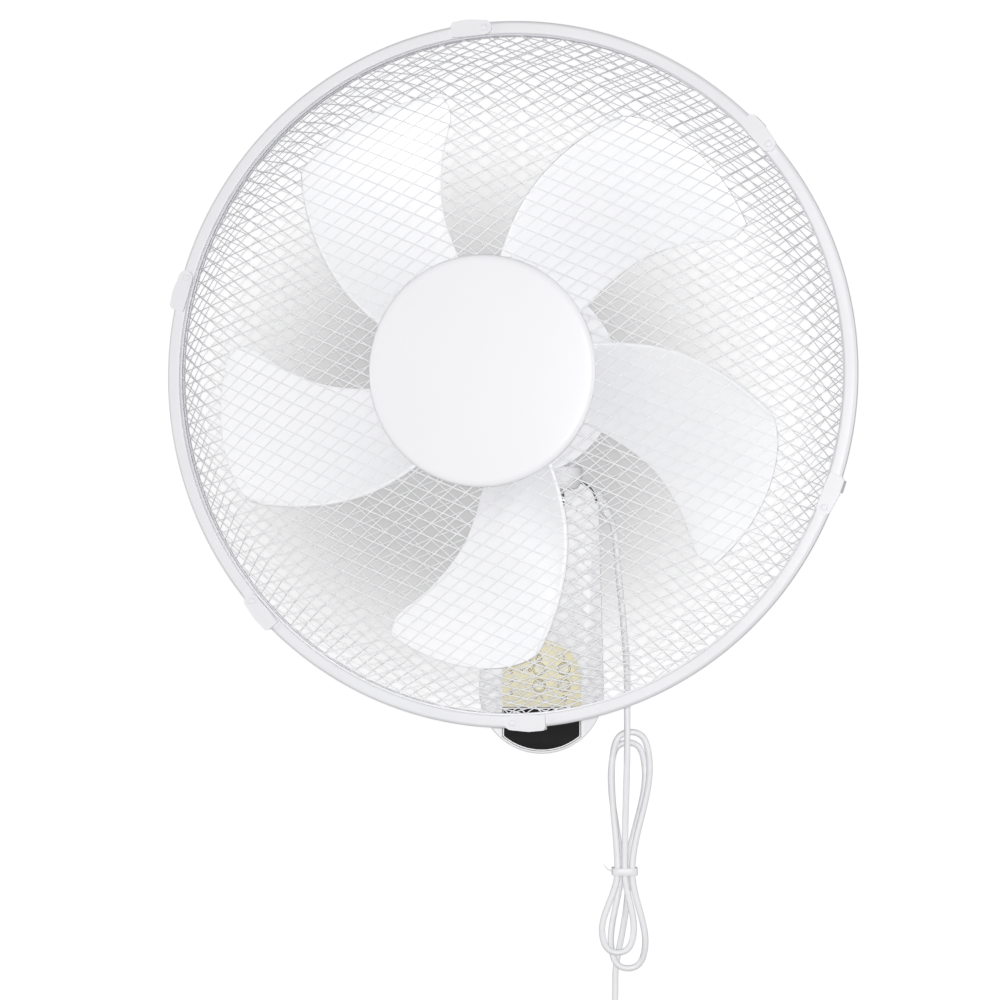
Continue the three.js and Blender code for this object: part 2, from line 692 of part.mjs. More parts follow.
// The neck's own frame has its origin on the tilt axis.
function neckBracket() {
  const toPan = tiltDepth - panDepth;
  const [low, high] = [cupBottom - tiltHeight, cupTop - tiltHeight];
  const cupProfile = [[0, low], [18, low], [23, low + 1.6], [25.4, low + 5], [cupRadius, low + 9],
    [cupRadius, high - 1], [cupRadius - 1, high], [0, high]];
  const cup = moved(revolveUp(cupProfile, 24), 0, toPan, 0);
  const knuckle = rod(knuckleRadius, at(-knuckleHalfWidth, 0, 0), at(knuckleHalfWidth, 0, 0), 18);
  const side = (x) => [
    [-4, -9.6], [toPan + 18, low + 2.4], [toPan + 8, low + 2.4], [toPan + 8, high - 3], [toPan + 22, high - 3],
    [-8, 8.6], [2, 9.8],
  ].map(([y, z]) => at(x, y, z));
  const arm = loft([side(-knuckleHalfWidth + 1), side(knuckleHalfWidth - 1)]);
  const pinBore = rod(tiltPinRadius + clearance, at(-30, 0, 0), at(30, 0, 0), 16);
  const boreFloor = at(0, toPan, panPinLow - clearance - tiltHeight);
  const panBore = rod(panPinRadius + clearance, boreFloor, at(0, toPan, high + 1), 16);
  return cut(join(cup, knuckle, arm), pinBore, panBore);
}

// Turns a closed profile of [radius, height] round the Z axis.
function revolveUp(profile, segments) {
  const g = revolve(profile, segments);
  g.rotateX(Math.PI / 2);
  return closed(g);
}

function tiltPin() {
  const inner = knuckleHalfWidth + clearance + earThickness;
  const y = -tiltDepth;
  const shank = rod(tiltPinRadius, at(-inner - 6, y, tiltHeight), at(inner + clearance, y, tiltHeight), 16);
  const headDisc = rod(7, at(inner + clearance, y, tiltHeight), at(inner + 4, y, tiltHeight), 16);
  return join(shank, headDisc);
}

function tiltNut() {
  const inner = knuckleHalfWidth + clearance + earThickness + clearance;
  const on = (x) => at(x, -tiltDepth, tiltHeight);
  const nut = rod(7, on(-inner), on(-inner - 5), 6);
  return cut(nut, rod(tiltPinRadius + clearance, on(-inner + 1), on(-inner - 6), 16));
}

function panPin() {
  const on = (z) => at(0, tiltDepth - panDepth, z - tiltHeight);
  return rod(panPinRadius, on(panPinLow), on(panPinHigh), 16);
}

// ---------------------------------------------------------------- motor

// In the head's own frame the origin is on the pan axis at the height of the motor axis.
const caseTop = -coverRadius + wallThickness; // the gear case ends at the cover's inner side
const caseBottom = -gearCaseDrop;

function gearCase() {
  const body = rod(gearCaseRadius, at(0, 0, caseBottom), at(0, 0, caseTop - clearance), 20);
  const boreTop = at(0, 0, panPinHigh + clearance - motorHeight);
  return cut(body, rod(panPinRadius + clearance, at(0, 0, caseBottom - 1), boreTop, 16));
}

function rearCover() {
  const r = coverRadius;
  const t = wallThickness;
  const pocket = bearingRadius + clearance;
  const profile = [
    [r, coverFront], [r, coverRear + 34], [r - 3, coverRear + 17], [r - 12, coverRear + 5], [r - 26, coverRear + 0.6],
    [0, coverRear], [0, coverRear + 4], [pocket, coverRear + 4], [pocket, coverRear + 4 + bearingWidth + 1],
    [pocket + 3, coverRear + 4 + bearingWidth + 1], [pocket + 3, coverRear + t + 0.6], [r - 14, coverRear + 5 + t],
    [r - 3 - t, coverRear + 18], [r - t, coverRear + 34], [r - t, coverFront],
  ];
  const shell = turned(profile, motorSides);
  return cut(shell, rod(gearCaseRadius + clearance, at(0, 0, -coverRadius - 5), at(0, 0, -coverRadius + 12), 20));
}

function frontPlate() {
  const r = coverRadius;
  const front = coverFront + plateStep;
  const shaftHole = shaftRadius + 1.5;
  const pocket = bearingRadius + clearance;
  const profile = [
    [shaftHole, front + bossLength], [bossRadius, front + bossLength], [bossRadius, front], [r - 3, front], [r, front - 3],
    [r, coverFront + clearance], [r - wallThickness - clearance, coverFront + clearance],
    [r - wallThickness - clearance, coverFront - 3], [r - wallThickness - 2.4, coverFront - 3],
    [r - wallThickness - 2.4, coverFront + 2.6], [bearingRadius + 4, coverFront + 2.6],
    [bearingRadius + 4, coverFront - 5], [pocket, coverFront - 5], [pocket, coverFront + 2.4], [shaftHole, coverFront + 2.4],
  ];
  return turned(profile, motorSides);
}

const statorRadius = coverRadius - wallThickness - 3 * clearance;
const stator = () => turned([
  [rotorRadius + 0.6, statorFront], [24, statorFront + 3], [35, statorFront + 3], [38, statorFront - 4],
  [statorRadius, statorFront - 6], [statorRadius, statorRear + 6], [38, statorRear + 4], [35, statorRear - 3],
  [24, statorRear - 3], [rotorRadius + 0.6, statorRear],
], motorSides);
const rotorCore = () => turned([
  [shaftRadius + clearance, statorFront + 1], [rotorRadius, statorFront + 1],
  [rotorRadius, statorRear - 1], [shaftRadius + clearance, statorRear - 1],
], 16);
const bearing = (frontFace) => turned([
  [shaftRadius + clearance, frontFace], [bearingRadius, frontFace],
  [bearingRadius, frontFace - bearingWidth], [shaftRadius + clearance, frontFace - bearingWidth],
], 16);
const motorShaft = () => turned([
  [0, coverRear + 4 + clearance], [shaftRadius, coverRear + 4 + clearance],
  [shaftRadius, hubFront + 9], [shaftRadius - 0.8, hubFront + 10], [0, hubFront + 10],
], 20);

// ---------------------------------------------------------------- guards

// Places along a dome from its middle to its edge, equally far apart along the surface.
function domeTable(depth, bend) {
  const table = [];
  let [length, r, f] = [0, 0, depth];
  table.push({ length, r, f });
  for (let k = 1; k <= 400; k++) {
    const a = (Math.PI / 2) * (k / 400);
    const nextR = guardRadius * Math.sin(a);
    const nextF = depth * Math.sqrt(Math.max(0, 1 - Math.pow(nextR / guardRadius, bend)));
    length += Math.hypot(nextR - r, nextF - f);
    [r, f] = [nextR, nextF];
    table.push({ length, r, f });
  }
  return table;
}

function onDome(table, length) {
  let k = 1;
  while (k < table.length - 1 && table[k].length < length) k++;
  const [a, b] = [table[k - 1], table[k]];
  const t = (length - a.length) / (b.length - a.length);
  const span = Math.hypot(b.r - a.r, b.f - a.f);
  return { r: a.r + t * (b.r - a.r), f: a.f + t * (b.f - a.f), outR: -(b.f - a.f) / span, outF: (b.r - a.r) / span };
}

// A lattice of two families of wires, laid over a dome. Strips and gaps alternate along each family.
function meshDome({ depth, sign, holeRadius, angleA, angleB }) {
  const table = domeTable(depth, domeExponent);
  const reach = table[table.length - 1].length;
  const normal = (degrees) => [-Math.sin(radians(degrees)), Math.cos(radians(degrees))];
  const [nA, nB] = [normal(angleA), normal(angleB)];
  const det = nA[0] * nB[1] - nA[1] * nB[0];
  const rowsA = Math.ceil(reach / meshPitchA) + 1;
  const rowsB = Math.ceil(reach / meshPitchB) + 1;
  const half = wireWidth / 2;
  const lineOf = (k, pitch) => Math.floor(k / 2) * pitch + (k % 2 ? half : -half) ;
  const columns = 2 * (2 * rowsA + 1);
  const lanes = 2 * (2 * rowsB + 1);
  const lineA = (k) => lineOf(k, meshPitchA) - rowsA * meshPitchA;
  const lineB = (k) => lineOf(k, meshPitchB) - rowsB * meshPitchB;
  const flat = (p, q) => {
    const [u, v] = [lineA(p), lineB(q)];
    return [(u * nB[1] - v * nA[1]) / det, (nA[0] * v - nB[0] * u) / det];
  };
  const isSolid = (p, q) => {
    if (p < 0 || q < 0 || p >= columns - 1 || q >= lanes - 1) return false;
    if (p % 2 && q % 2) return false;
    const [[x0, z0], [x1, z1]] = [flat(p, q), flat(p + 1, q + 1)];
    const middle = Math.hypot((x0 + x1) / 2, (z0 + z1) / 2);
    return middle < reach - 1 && middle > holeRadius - meshPitchA * 0.75;
  };
  const position = [];
  const index = [];
  const numbers = new Map();
  const vertex = (p, q, layer) => {
    const key = `${p},${q},${layer}`;
    if (!numbers.has(key)) {
      const [x, z] = flat(p, q);
      const length = Math.hypot(x, z);
      const { r, f, outR, outF } = onDome(table, Math.min(length, reach - 0.01));
      const away = (layer - 0.5) * wireThickness;
      const radius = r + away * outR + Math.max(0, length - reach) * 0.02;
      numbers.set(key, position.length / 3);
      position.push((x / length) * radius, ahead(sign * (f + away * outF)), (z / length) * radius);
    }
    return numbers.get(key);
  };
  const quad = (a, b, c, d) => index.push(a, b, c, a, c, d);
  for (let p = 0; p < columns; p++) {
    for (let q = 0; q < lanes; q++) {
      if (!isSolid(p, q)) continue;
      const [a, b, c, d] = [[p, q], [p + 1, q], [p + 1, q + 1], [p, q + 1]];
      quad(vertex(...a, 1), vertex(...b, 1), vertex(...c, 1), vertex(...d, 1));
      quad(vertex(...d, 0), vertex(...c, 0), vertex(...b, 0), vertex(...a, 0));
      const sides = [[a, b, p, q - 1], [b, c, p + 1, q], [c, d, p, q + 1], [d, a, p - 1, q]];
      for (const [from, to, np, nq] of sides) {
        if (!isSolid(np, nq)) quad(vertex(...from, 0), vertex(...to, 0), vertex(...to, 1), vertex(...from, 1));
      }
    }
  }
  const g = new THREE.BufferGeometry();
  g.setAttribute("position", new THREE.BufferAttribute(new Float32Array(position), 3));
  g.setIndex(index);
  return closed(g);
}

// Keeps what lies between two radii.
const between = (inner, outer) => turned([
  [inner, -rearDepth - 20], [outer, -rearDepth - 20], [outer, frontDepth + 20], [inner, frontDepth + 20],
], 48);

function frontGuard() {
  const dome = meshDome({ depth: frontDepth, sign: 1, holeRadius: frontHoleRadius, angleA: meshAngleA, angleB: meshAngleB });
  const height = frontDepth * Math.sqrt(1 - Math.pow(frontHoleRadius / guardRadius, domeExponent));
  const low = flangeGap;
  const flangeEdge = rimOuterRadius - rimThickness - clearance;
  const flange = turned([
    [guardRadius - 1.5, low], [flangeEdge, low], [flangeEdge, low + flangeThickness],
    [guardRadius + 1, low + flangeThickness], [guardRadius + 1, low + upstand], [guardRadius - 1.5, low + upstand],
  ], 48);
  const ring = turned([
    [frontHoleRadius - 3, height - 1], [frontHoleRadius + 5, height - 2],
    [frontHoleRadius + 5, height + 1], [frontHoleRadius - 3, height + 1],
  ], 30);
  return join(trim(dome, between(frontHoleRadius, guardRadius)), flange, ring);
}

const flangeGap = 0.8;
const upstand = 5; // lower than the clips' back, so that they swing over it

function rearGuard() {
  const dome = meshDome({ depth: rearDepth, sign: -1, holeRadius: rearPlateRadius, angleA: -meshAngleA, angleB: -meshAngleB });
  const low = rimBack - clearance - flangeThickness;
  const flange = turned([
    [guardRadius - 1.5, low - 5], [guardRadius + 1, low - 5], [guardRadius + 1, low], [rimOuterRadius - 1, low],
    [rimOuterRadius - 1, low + flangeThickness], [guardRadius - 1.5, low + flangeThickness],
  ], 48);
  const height = -rearDepth * Math.sqrt(1 - Math.pow(rearPlateRadius / guardRadius, domeExponent));
  const seat = coverFront + plateStep + clearance;
  const plate = turned([
    [bossRadius + clearance, seat], [coverRadius - 4, seat], [rearPlateRadius + 4, height - 1.2],
    [rearPlateRadius + 4, height + 1.2], [coverRadius - 5, seat + seatThickness], [bossRadius + clearance, seat + seatThickness],
  ], 24);
  return join(trim(dome, between(rearPlateRadius, guardRadius)), flange, plate);
}

function guardNut() {
  const back = coverFront + plateStep + seatThickness + 2 * clearance;
  const front = back + guardNutLength;
  return turned([
    [bossRadius + clearance, back], [guardNutRadius, back], [guardNutRadius, front - 3],
    [guardNutRadius - 3, front], [bossRadius + clearance, front],
  ], 20);
}

const rimRing = () => turned([
  [rimInnerRadius, rimFront - rimThickness], [rimInnerRadius, rimFront - 0.7], [rimInnerRadius + 0.8, rimFront],
  [rimOuterRadius - 1.6, rimFront], [rimOuterRadius, rimFront - 1.6], [rimOuterRadius, rimBack],
  [rimOuterRadius - rimThickness, rimBack], [rimOuterRadius - rimThickness, rimFront - rimThickness],
], 48);

function centreCap() {
  const spigot = frontHoleRadius - 3 - clearance;
  const face = capBack + capThickness;
  return turned([
    [0, face + capCrown], [capRadius * 0.35, face + capCrown * 0.88], [capRadius * 0.7, face + capCrown * 0.5],
    [capRadius - 4, face + 0.1], [capRadius - 1.2, face - 0.5], [capRadius, face - 1.9], [capRadius - 0.5, capBack],
    [spigot, capBack], [spigot, capBack - 5], [spigot - 1.8, capBack - 5], [spigot - 1.8, capBack + 1], [0, capBack + 1],
  ], 30);
}

// ---------------------------------------------------------------- clips

// A clip's own frame has its origin on the rivet, +Z away from the head's middle and +X clockwise.
function clipBody() {
  const [near, far] = [clipEnd, clipLength - clipEnd];
  const w = clipHalfWidth;
  const outline = new THREE.Shape();
  const bow = (x) => -(x * x) / (2 * clipRadius); // the plate follows the rim
  outline.moveTo(-far, bow(far) - w + 1);
  outline.lineTo(-far / 2, bow(far / 2) - w);
  outline.lineTo(0, -w);
  outline.absarc(near - w, 0, w, -Math.PI / 2, Math.PI / 2, false);
  outline.lineTo(-far / 2, bow(far / 2) + w + 1.4);
  outline.lineTo(-far + 1.5, bow(far) + w + 1.4);
  outline.lineTo(-far, bow(far) + w - 0.4);
  outline.holes.push(new THREE.Path().absarc(0, 0, rivetRadius + clearance, 0, 2 * Math.PI, true));
  const plateBack = rimFront + clearance;
  const plate = upright(outline, 0, clipThickness, 4);
  plate.translate(0, ahead(plateBack), 0);
  const legIn = rimOuterRadius + clearance + 0.1 - clipRadius;
  const legOut = clipHalfWidth + 1.4;
  const lipFront = rimBack - 2 * clearance - flangeThickness;
  const hook = (x) => [
    [legIn, plateBack + 0.8], [legOut, plateBack + 0.8], [legOut, lipFront - clipLip],
    [legIn - 4, lipFront - clipLip], [legIn - 4, lipFront], [legIn, lipFront],
  ].map(([z, f]) => at(x, ahead(f), z + bow(x)));
  const leg = loft([hook(-far + 2), hook(-far / 2 - 1)]);
  return join(plate, leg);
}

function rivet() {
  const base = rimFront + clearance;
  const top = base + clipThickness + clearance;
  return turned([
    [0, base], [rivetRadius, base], [rivetRadius, top],
    [rivetHeadRadius, top], [rivetHeadRadius - 0.4, top + 0.5], [0, top + 0.6],
  ], 8);
}

// ---------------------------------------------------------------- impeller

// Edges of a blade as [radius, degrees clockwise from its middle, forward].
const trailingEdge = [[hubRadius - 3, -45, 34], [70, -38.3, 36], [107, -31.5, 36.5], [147, -22, 35.5], [170, -16, 33.5]];
const leadingEdge = [
  [hubRadius - 3, 9, -10], [75, 6.8, -7], [108, 8.2, -2], [140, 13.4, 3.5], [166, 18.4, 7.5], [177.5, 17.6, 9.5],
];
const bladeRows = 7;
const bladeColumns = 4;
const outerBulge = 25;
const camber = 4.5;

function edgePoint(edge, t) {
  const curve = new THREE.CatmullRomCurve3(edge.map(([r, a, f]) => at(r, a, f)), false, "centripetal");
  return curve.getPointAt(t);
}

function bladeSurface(u, v) {
  const [trail, lead] = [edgePoint(trailingEdge, v), edgePoint(leadingEdge, v)];
  const r = THREE.MathUtils.lerp(trail.x, lead.x, u) + outerBulge * Math.sqrt(u) * (1 - u) * v ** 3;
  const angle = radians(THREE.MathUtils.lerp(trail.y, lead.y, u));
  const forward = THREE.MathUtils.lerp(trail.z, lead.z, u) - camber * 4 * u * (1 - u) * (1 - 0.4 * v);
  return at(r * Math.sin(angle), ahead(forward), r * Math.cos(angle));
}

function blade(angle) {
  const position = [];
  const index = [];
  const number = (i, j, side) => (i * (bladeColumns + 1) + j) * 2 + side;
  for (let i = 0; i <= bladeRows; i++) {
    for (let j = 0; j <= bladeColumns; j++) {
      const [u, v] = [j / bladeColumns, i / bladeRows];
      const p = bladeSurface(u, v);
      const du = bladeSurface(Math.min(1, u + 0.01), v).sub(bladeSurface(Math.max(0, u - 0.01), v));
      const dv = bladeSurface(u, Math.min(1, v + 0.01)).sub(bladeSurface(u, Math.max(0, v - 0.01)));
      const normal = du.cross(dv).normalize();
      const edge = Math.min(u, 1 - u) < 0.01 || v > 0.99 ? 0.5 : 1;
      for (const side of [-1, 1]) {
        const q = p.clone().addScaledVector(normal, (side * edge * bladeThickness) / 2);
        position.push(q.x, q.y, q.z);
      }
    }
  }
  const quad = (a, b, c, d) => index.push(a, b, c, a, c, d);
  for (let i = 0; i < bladeRows; i++) {
    for (let j = 0; j < bladeColumns; j++) {
      quad(number(i, j, 1), number(i, j + 1, 1), number(i + 1, j + 1, 1), number(i + 1, j, 1));
      quad(number(i + 1, j, 0), number(i + 1, j + 1, 0), number(i, j + 1, 0), number(i, j, 0));
    }
    quad(number(i, 0, 0), number(i, 0, 1), number(i + 1, 0, 1), number(i + 1, 0, 0));
    const last = bladeColumns;
    quad(number(i + 1, last, 0), number(i + 1, last, 1), number(i, last, 1), number(i, last, 0));
  }
  for (let j = 0; j < bladeColumns; j++) {
    const end = bladeRows;
    quad(number(0, j, 1), number(0, j, 0), number(0, j + 1, 0), number(0, j + 1, 1));
    quad(number(end, j, 0), number(end, j, 1), number(end, j + 1, 1), number(end, j + 1, 0));
  }
  const g = new THREE.BufferGeometry();
  g.setAttribute("position", new THREE.BufferAttribute(new Float32Array(position), 3));
  g.setIndex(index);
  g.rotateY(radians(angle));
  return closed(g);
}

function impeller() {
  const bore = shaftRadius + clearance;
  const hub = turned([
    [bore, hubFront], [hubRadius - 12, hubFront], [hubRadius - 3, hubFront - 3], [hubRadius, hubFront - 10],
    [hubRadius, hubBack], [hubRadius - 2.4, hubBack], [hubRadius - 2.4, hubFront - 11], [hubRadius - 5, hubFront - 5.6],
    [hubRadius - 12, hubFront - 3], [bore + 5, hubFront - 3], [bore + 5, hubBack + 8], [bore, hubBack + 8],
  ], 18);
  const blades = Array.from({ length: bladeCount }, (_, i) => blade(bladeFirstAngle + (360 / bladeCount) * i));
  const inside = turned([
    [bore + 5, hubBack - 30], [hubRadius - 2.4, hubBack - 30], [hubRadius - 2.4, hubFront - 11],
    [hubRadius - 5, hubFront - 5.6], [hubRadius - 12, hubFront - 3], [bore + 5, hubFront - 3],
  ], 18);
  return cut(join(hub, ...blades), inside);
}

const bladeNut = () => turned([
  [0, hubFront + 14], [nutRadius - 5, hubFront + 13.4], [nutRadius - 1, hubFront + 10], [nutRadius, hubFront + 5],
  [nutRadius, hubFront + clearance], [shaftRadius + clearance, hubFront + clearance], [shaftRadius + clearance, hubFront + 11],
  [0, hubFront + 11],
], 16);

// ---------------------------------------------------------------- assembly

add(fan, "wall_plate", wallPlate(), looks.zinc);
add(fan, "base_rear_shell", rearShell(), looks.shell);
add(fan, "base_front_shell", frontShell(), looks.shell);
screwPlaces.forEach((place, i) => add(fan, i ? "base_screw_right" : "base_screw_left", bodyScrew(place), looks.steel));
add(fan, "control_label", controlLabel(), looks.beige);
add(fan, "receiver_window", receiverWindow(), looks.dark);
for (const place of keyPlaces) {
  add(fan, `key_${place.name}`, keyCap(place), looks.key);
  add(fan, `switch_${place.name}`, keySwitch(place), looks.black);
}
add(fan, "control_board", controlBoard(), looks.board);
add(fan, "receiver_eye", receiverEye(), looks.black);
add(fan, "run_capacitor", runCapacitor(), looks.black);
add(fan, "cord_grommet", cordGrommet(), looks.cord);
add(fan, "cord_run", tube(runPoints, 22, 8), looks.cord);
add(fan, "cord_hank", tube(hankPoints, loops.length * loopSteps + 24, 6), looks.cord);
add(fan, "cord_tail", tube(tailPoints, 10, 8), looks.cord);
add(fan, "hank_tie", hankTie(), looks.cord);
add(fan, "plug_body", plugBody(), looks.cord);
add(fan, "plug_blade_left", plugBlade(-1), looks.brass);
add(fan, "plug_blade_right", plugBlade(1), looks.brass);
add(fan, "tilt_pin", tiltPin(), looks.steel);
add(fan, "tilt_nut", tiltNut(), looks.steel);

add(neck, "neck_bracket", neckBracket(), looks.shell);
add(neck, "pan_pin", panPin(), looks.steel);

add(head, "gear_case", gearCase(), looks.shell);
add(head, "motor_rear_cover", rearCover(), looks.shell);
add(head, "motor_front_plate", frontPlate(), looks.zinc);
add(head, "motor_stator", stator(), looks.copper);
add(head, "bearing_front", bearing(coverFront + 2.4 - clearance), looks.steel);
add(head, "bearing_rear", bearing(coverRear + 4 + bearingWidth + clearance), looks.steel);
add(head, "guard_nut", guardNut(), looks.shell);
add(head, "rear_guard", rearGuard(), looks.wire);
add(head, "rim_ring", rimRing(), looks.shell);
add(head, "front_guard", frontGuard(), looks.wire);
add(head, "centre_cap", centreCap(), looks.shell);

clipAngles.forEach((angle, i) => {
  const place = new THREE.Group();
  place.rotation.y = radians(angle);
  const seat = new THREE.Group();
  seat.position.z = clipRadius;
  place.add(seat);
  head.add(place);
  add(seat, `clip_${i + 1}`, clipBody(), looks.shell);
  add(seat, `rivet_${i + 1}`, rivet(), looks.shell);
});

add(head, "motor_shaft", motorShaft(), looks.steel);
add(head, "motor_rotor", rotorCore(), looks.steel);
add(head, "impeller", impeller(), looks.blade);
add(head, "blade_nut", bladeNut(), looks.blade);

console.log(`least gap of the bundled cord to itself: ${leastGap(hankPoints).toFixed(2)} mm`);

export default fan;
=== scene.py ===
import json
import math
from bisect import bisect_right

import bmesh
import bpy
from mathutils import Matrix, Vector


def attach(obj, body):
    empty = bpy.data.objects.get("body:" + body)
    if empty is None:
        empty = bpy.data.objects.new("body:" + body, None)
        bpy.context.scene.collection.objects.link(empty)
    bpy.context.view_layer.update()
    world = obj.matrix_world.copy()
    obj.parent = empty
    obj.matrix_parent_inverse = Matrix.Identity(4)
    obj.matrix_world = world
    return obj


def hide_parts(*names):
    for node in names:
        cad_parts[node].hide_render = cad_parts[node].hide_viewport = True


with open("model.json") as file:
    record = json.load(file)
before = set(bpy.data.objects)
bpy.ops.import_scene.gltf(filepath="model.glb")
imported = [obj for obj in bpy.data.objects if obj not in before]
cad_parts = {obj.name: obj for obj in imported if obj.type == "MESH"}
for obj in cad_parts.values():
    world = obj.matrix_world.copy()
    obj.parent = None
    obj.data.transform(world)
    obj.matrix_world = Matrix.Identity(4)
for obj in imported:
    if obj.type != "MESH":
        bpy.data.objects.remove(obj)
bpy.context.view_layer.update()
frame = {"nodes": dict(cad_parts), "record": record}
record = frame["record"]
bodyOf = {node: body for body, nodes in record["behaviour"]["bodies"].items() for node in nodes}
slotOf = {part["node"]: part["material_slot"] for part in record["subparts"]}
scene = bpy.context.scene
mm = 0.001
print("frame loaded:", len(bodyOf), "nodes")


def linked(item):
    scene.collection.objects.link(item)
    return item


cameraSettings = {
    "place": (-27.9, -2224, 78),  # level, in front of the ring, where the photograph was taken
    "lens": 115.7,
    "sensor": 36,
}

cameraData = bpy.data.cameras.new("studioCamera")
cameraData.lens = cameraSettings["lens"]
cameraData.sensor_width = cameraSettings["sensor"]
scene.camera = linked(bpy.data.objects.new("studioCamera", cameraData))
scene.camera.location = Vector(cameraSettings["place"]) * mm
scene.camera.rotation_euler = (math.radians(90), 0, 0)

headSettings = {
    "panDepth": 115,  # from the wall to the upright axis that the head swings about
    "motorHeight": 156,
    "rimReach": 108,  # from that axis forward to the ring's plane
    "restTurn": -13,
}

upright = Matrix.Identity(4)
headPlace = (
    Matrix.Translation((0, -headSettings["panDepth"], headSettings["motorHeight"]))
    @ Matrix.Rotation(math.radians(headSettings["restTurn"]), 4, "Z")
)


def inHead(x, forward, z):
    # depths in the head count forward from the ring's plane
    return Vector((x, -headSettings["rimReach"] - forward, z))


def feed(tree, item, socket):
    if isinstance(item, Signal):
        tree.links.new(item.socket, socket)
    else:
        socket.default_value = item


class Signal:
    def __init__(self, tree, socket):
        self.tree = tree
        self.socket = socket

    def math(self, operation, other, swap=False):
        node = self.tree.nodes.new("ShaderNodeMath")
        node.operation = operation
        for item, socket in zip((other, self) if swap else (self, other), node.inputs):
            feed(self.tree, item, socket)
        return Signal(self.tree, node.outputs[0])

    def __add__(self, other):
        return self.math("ADD", other)

    __radd__ = __add__

    def __sub__(self, other):
        return self.math("SUBTRACT", other)

    def __rsub__(self, other):
        return self.math("SUBTRACT", other, swap=True)

    def __mul__(self, other):
        return self.math("MULTIPLY", other)

    __rmul__ = __mul__

    def clamped(self):
        return self.math("MAXIMUM", 0.0).math("MINIMUM", 1.0)


def fromScreen(colour):
    parts = (part / 255 for part in colour)
    return tuple(c / 12.92 if c <= 0.04045 else ((c + 0.055) / 1.055) ** 2.4 for c in parts)


class Finish:
    def __init__(self, name, roughness, metallic=0.0, extras=None):
        self.material = bpy.data.materials.new(name)
        self.material.use_nodes = True
        self.tree = self.material.node_tree
        self.surface = self.tree.nodes["Principled BSDF"]
        for socket, value in {"Roughness": roughness, "Metallic": metallic, **(extras or {})}.items():
            self.wear(socket, value)
        self.place = self.node("ShaderNodeTexCoord", output="Object")

    def node(self, kind, settings=None, sockets=None, output=0):
        node = self.tree.nodes.new(kind)
        for key, value in (settings or {}).items():
            setattr(node, key, value)
        for key, item in (sockets or {}).items():
            feed(self.tree, item, node.inputs[key])
        return Signal(self.tree, node.outputs[output])

    def vector(self, operation, first, second=None, output="Vector"):
        sockets = {0: first} if second is None else {0: first, 1: second}
        return self.node("ShaderNodeVectorMath", {"operation": operation}, sockets, output)

    def ramp(self, item, start, end, low, high):
        sockets = {0: item, 1: start, 2: end, 3: low, 4: high}
        return self.node("ShaderNodeMapRange", {"interpolation_type": "SMOOTHSTEP"}, sockets, "Result")

    def noise(self, grain, detail):
        sockets = {"Vector": self.place, "Scale": 1 / (grain * mm), "Detail": detail}
        return self.node("ShaderNodeTexNoise", None, sockets, "Fac")

    def stretched(self, x, y, z):
        return self.node("ShaderNodeMapping", None, {"Vector": self.place, "Scale": (x, y, z)})

    def blend(self, factor, first, second):
        first, second = ((*item, 1) if isinstance(item, tuple) else item for item in (first, second))
        return self.node("ShaderNodeMix", {"data_type": "RGBA"}, {0: factor, 6: first, 7: second}, 2)

    def tint(self, factor, colours):
        return self.blend(factor, *map(fromScreen, colours))

    def patchy(self, pattern, level, gain, colours):
        # the second colour shows where the pattern rises past the level
        return self.tint(((pattern - level) * gain).clamped(), colours)

    def relief(self, height, distance, strength, under=None):
        sockets = {"Height": height, "Distance": distance * mm, "Strength": strength}
        if under:
            sockets["Normal"] = under
        return self.node("ShaderNodeBump", None, sockets)

    def wear(self, socket, item):
        feed(self.tree, item, self.surface.inputs[socket])

    def worn(self, colour, normal, roughness=None):
        self.wear("Base Color", colour)
        self.wear("Normal", normal)
        if roughness:
            self.wear("Roughness", roughness)
        return self.material


plasticSettings = {
    "cloud": 38,  # size of the faint clouds in the colour
    "sparkShare": 0.12,  # how far the grain and the clouds change the roughness
    "cloudShare": 0.08,
    "wave": 14,  # faint waviness of a moulded wall
    "waveDepth": 0.06,
}


def mouldedPlastic(name, colours, roughness=0.42, grain=0.45, depth=0.012):
    s = plasticSettings
    finish = Finish(name, roughness)
    cloud, spark = finish.noise(s["cloud"], 3), finish.noise(grain, 2)
    varied = roughness + (spark - 0.5) * s["sparkShare"] + (cloud - 0.5) * s["cloudShare"]
    flow = finish.relief(finish.noise(s["wave"], 1), s["waveDepth"], 0.35)
    grained = finish.relief(spark, depth, 0.5, flow)
    return finish.worn(finish.patchy(cloud, 0.35, 1.6, colours), grained, varied)


wireCoat = {
    "coat": {"Coat Weight": 0.25, "Coat Roughness": 0.2},
    "roughness": 0.34,
    "outer": (212, 212, 216),  # painted shade: greyer towards the ring
    "rimShadeFrom": 0.178,  # metres from the motor's axis, where the painted shade starts and where it is full
    "rimShadeTo": 0.214,
    "drop": 0.03,  # the painted shade is counted from a point below the axis, so that it is strongest at the top
}


def coatedWire(name, colours):
    s = wireCoat
    finish = Finish(name, s["roughness"], extras=s["coat"])
    peel, pooled = finish.noise(1.1, 2), finish.noise(9, 2)  # thicker powder here and there
    hub = tuple(headPlace.translation * mm - Vector((0, 0, s["drop"])))
    axis = tuple(headPlace.to_3x3() @ Vector((0, -1, 0)))
    arm = finish.vector("CROSS_PRODUCT", finish.vector("SUBTRACT", finish.place, hub), axis)
    reach = finish.vector("LENGTH", arm, output="Value")
    # painted shade: the coat is blended to a darker grey towards the ring
    rimShadeMask = finish.ramp(reach, s["rimShadeFrom"], s["rimShadeTo"], 0.0, 1.0)
    colour = finish.blend(rimShadeMask, finish.patchy(pooled, 0.3, 1.5, colours), fromScreen(s["outer"]))
    return finish.worn(colour, finish.relief(peel, 0.05, 0.6), s["roughness"] + (peel - 0.5) * 0.16)


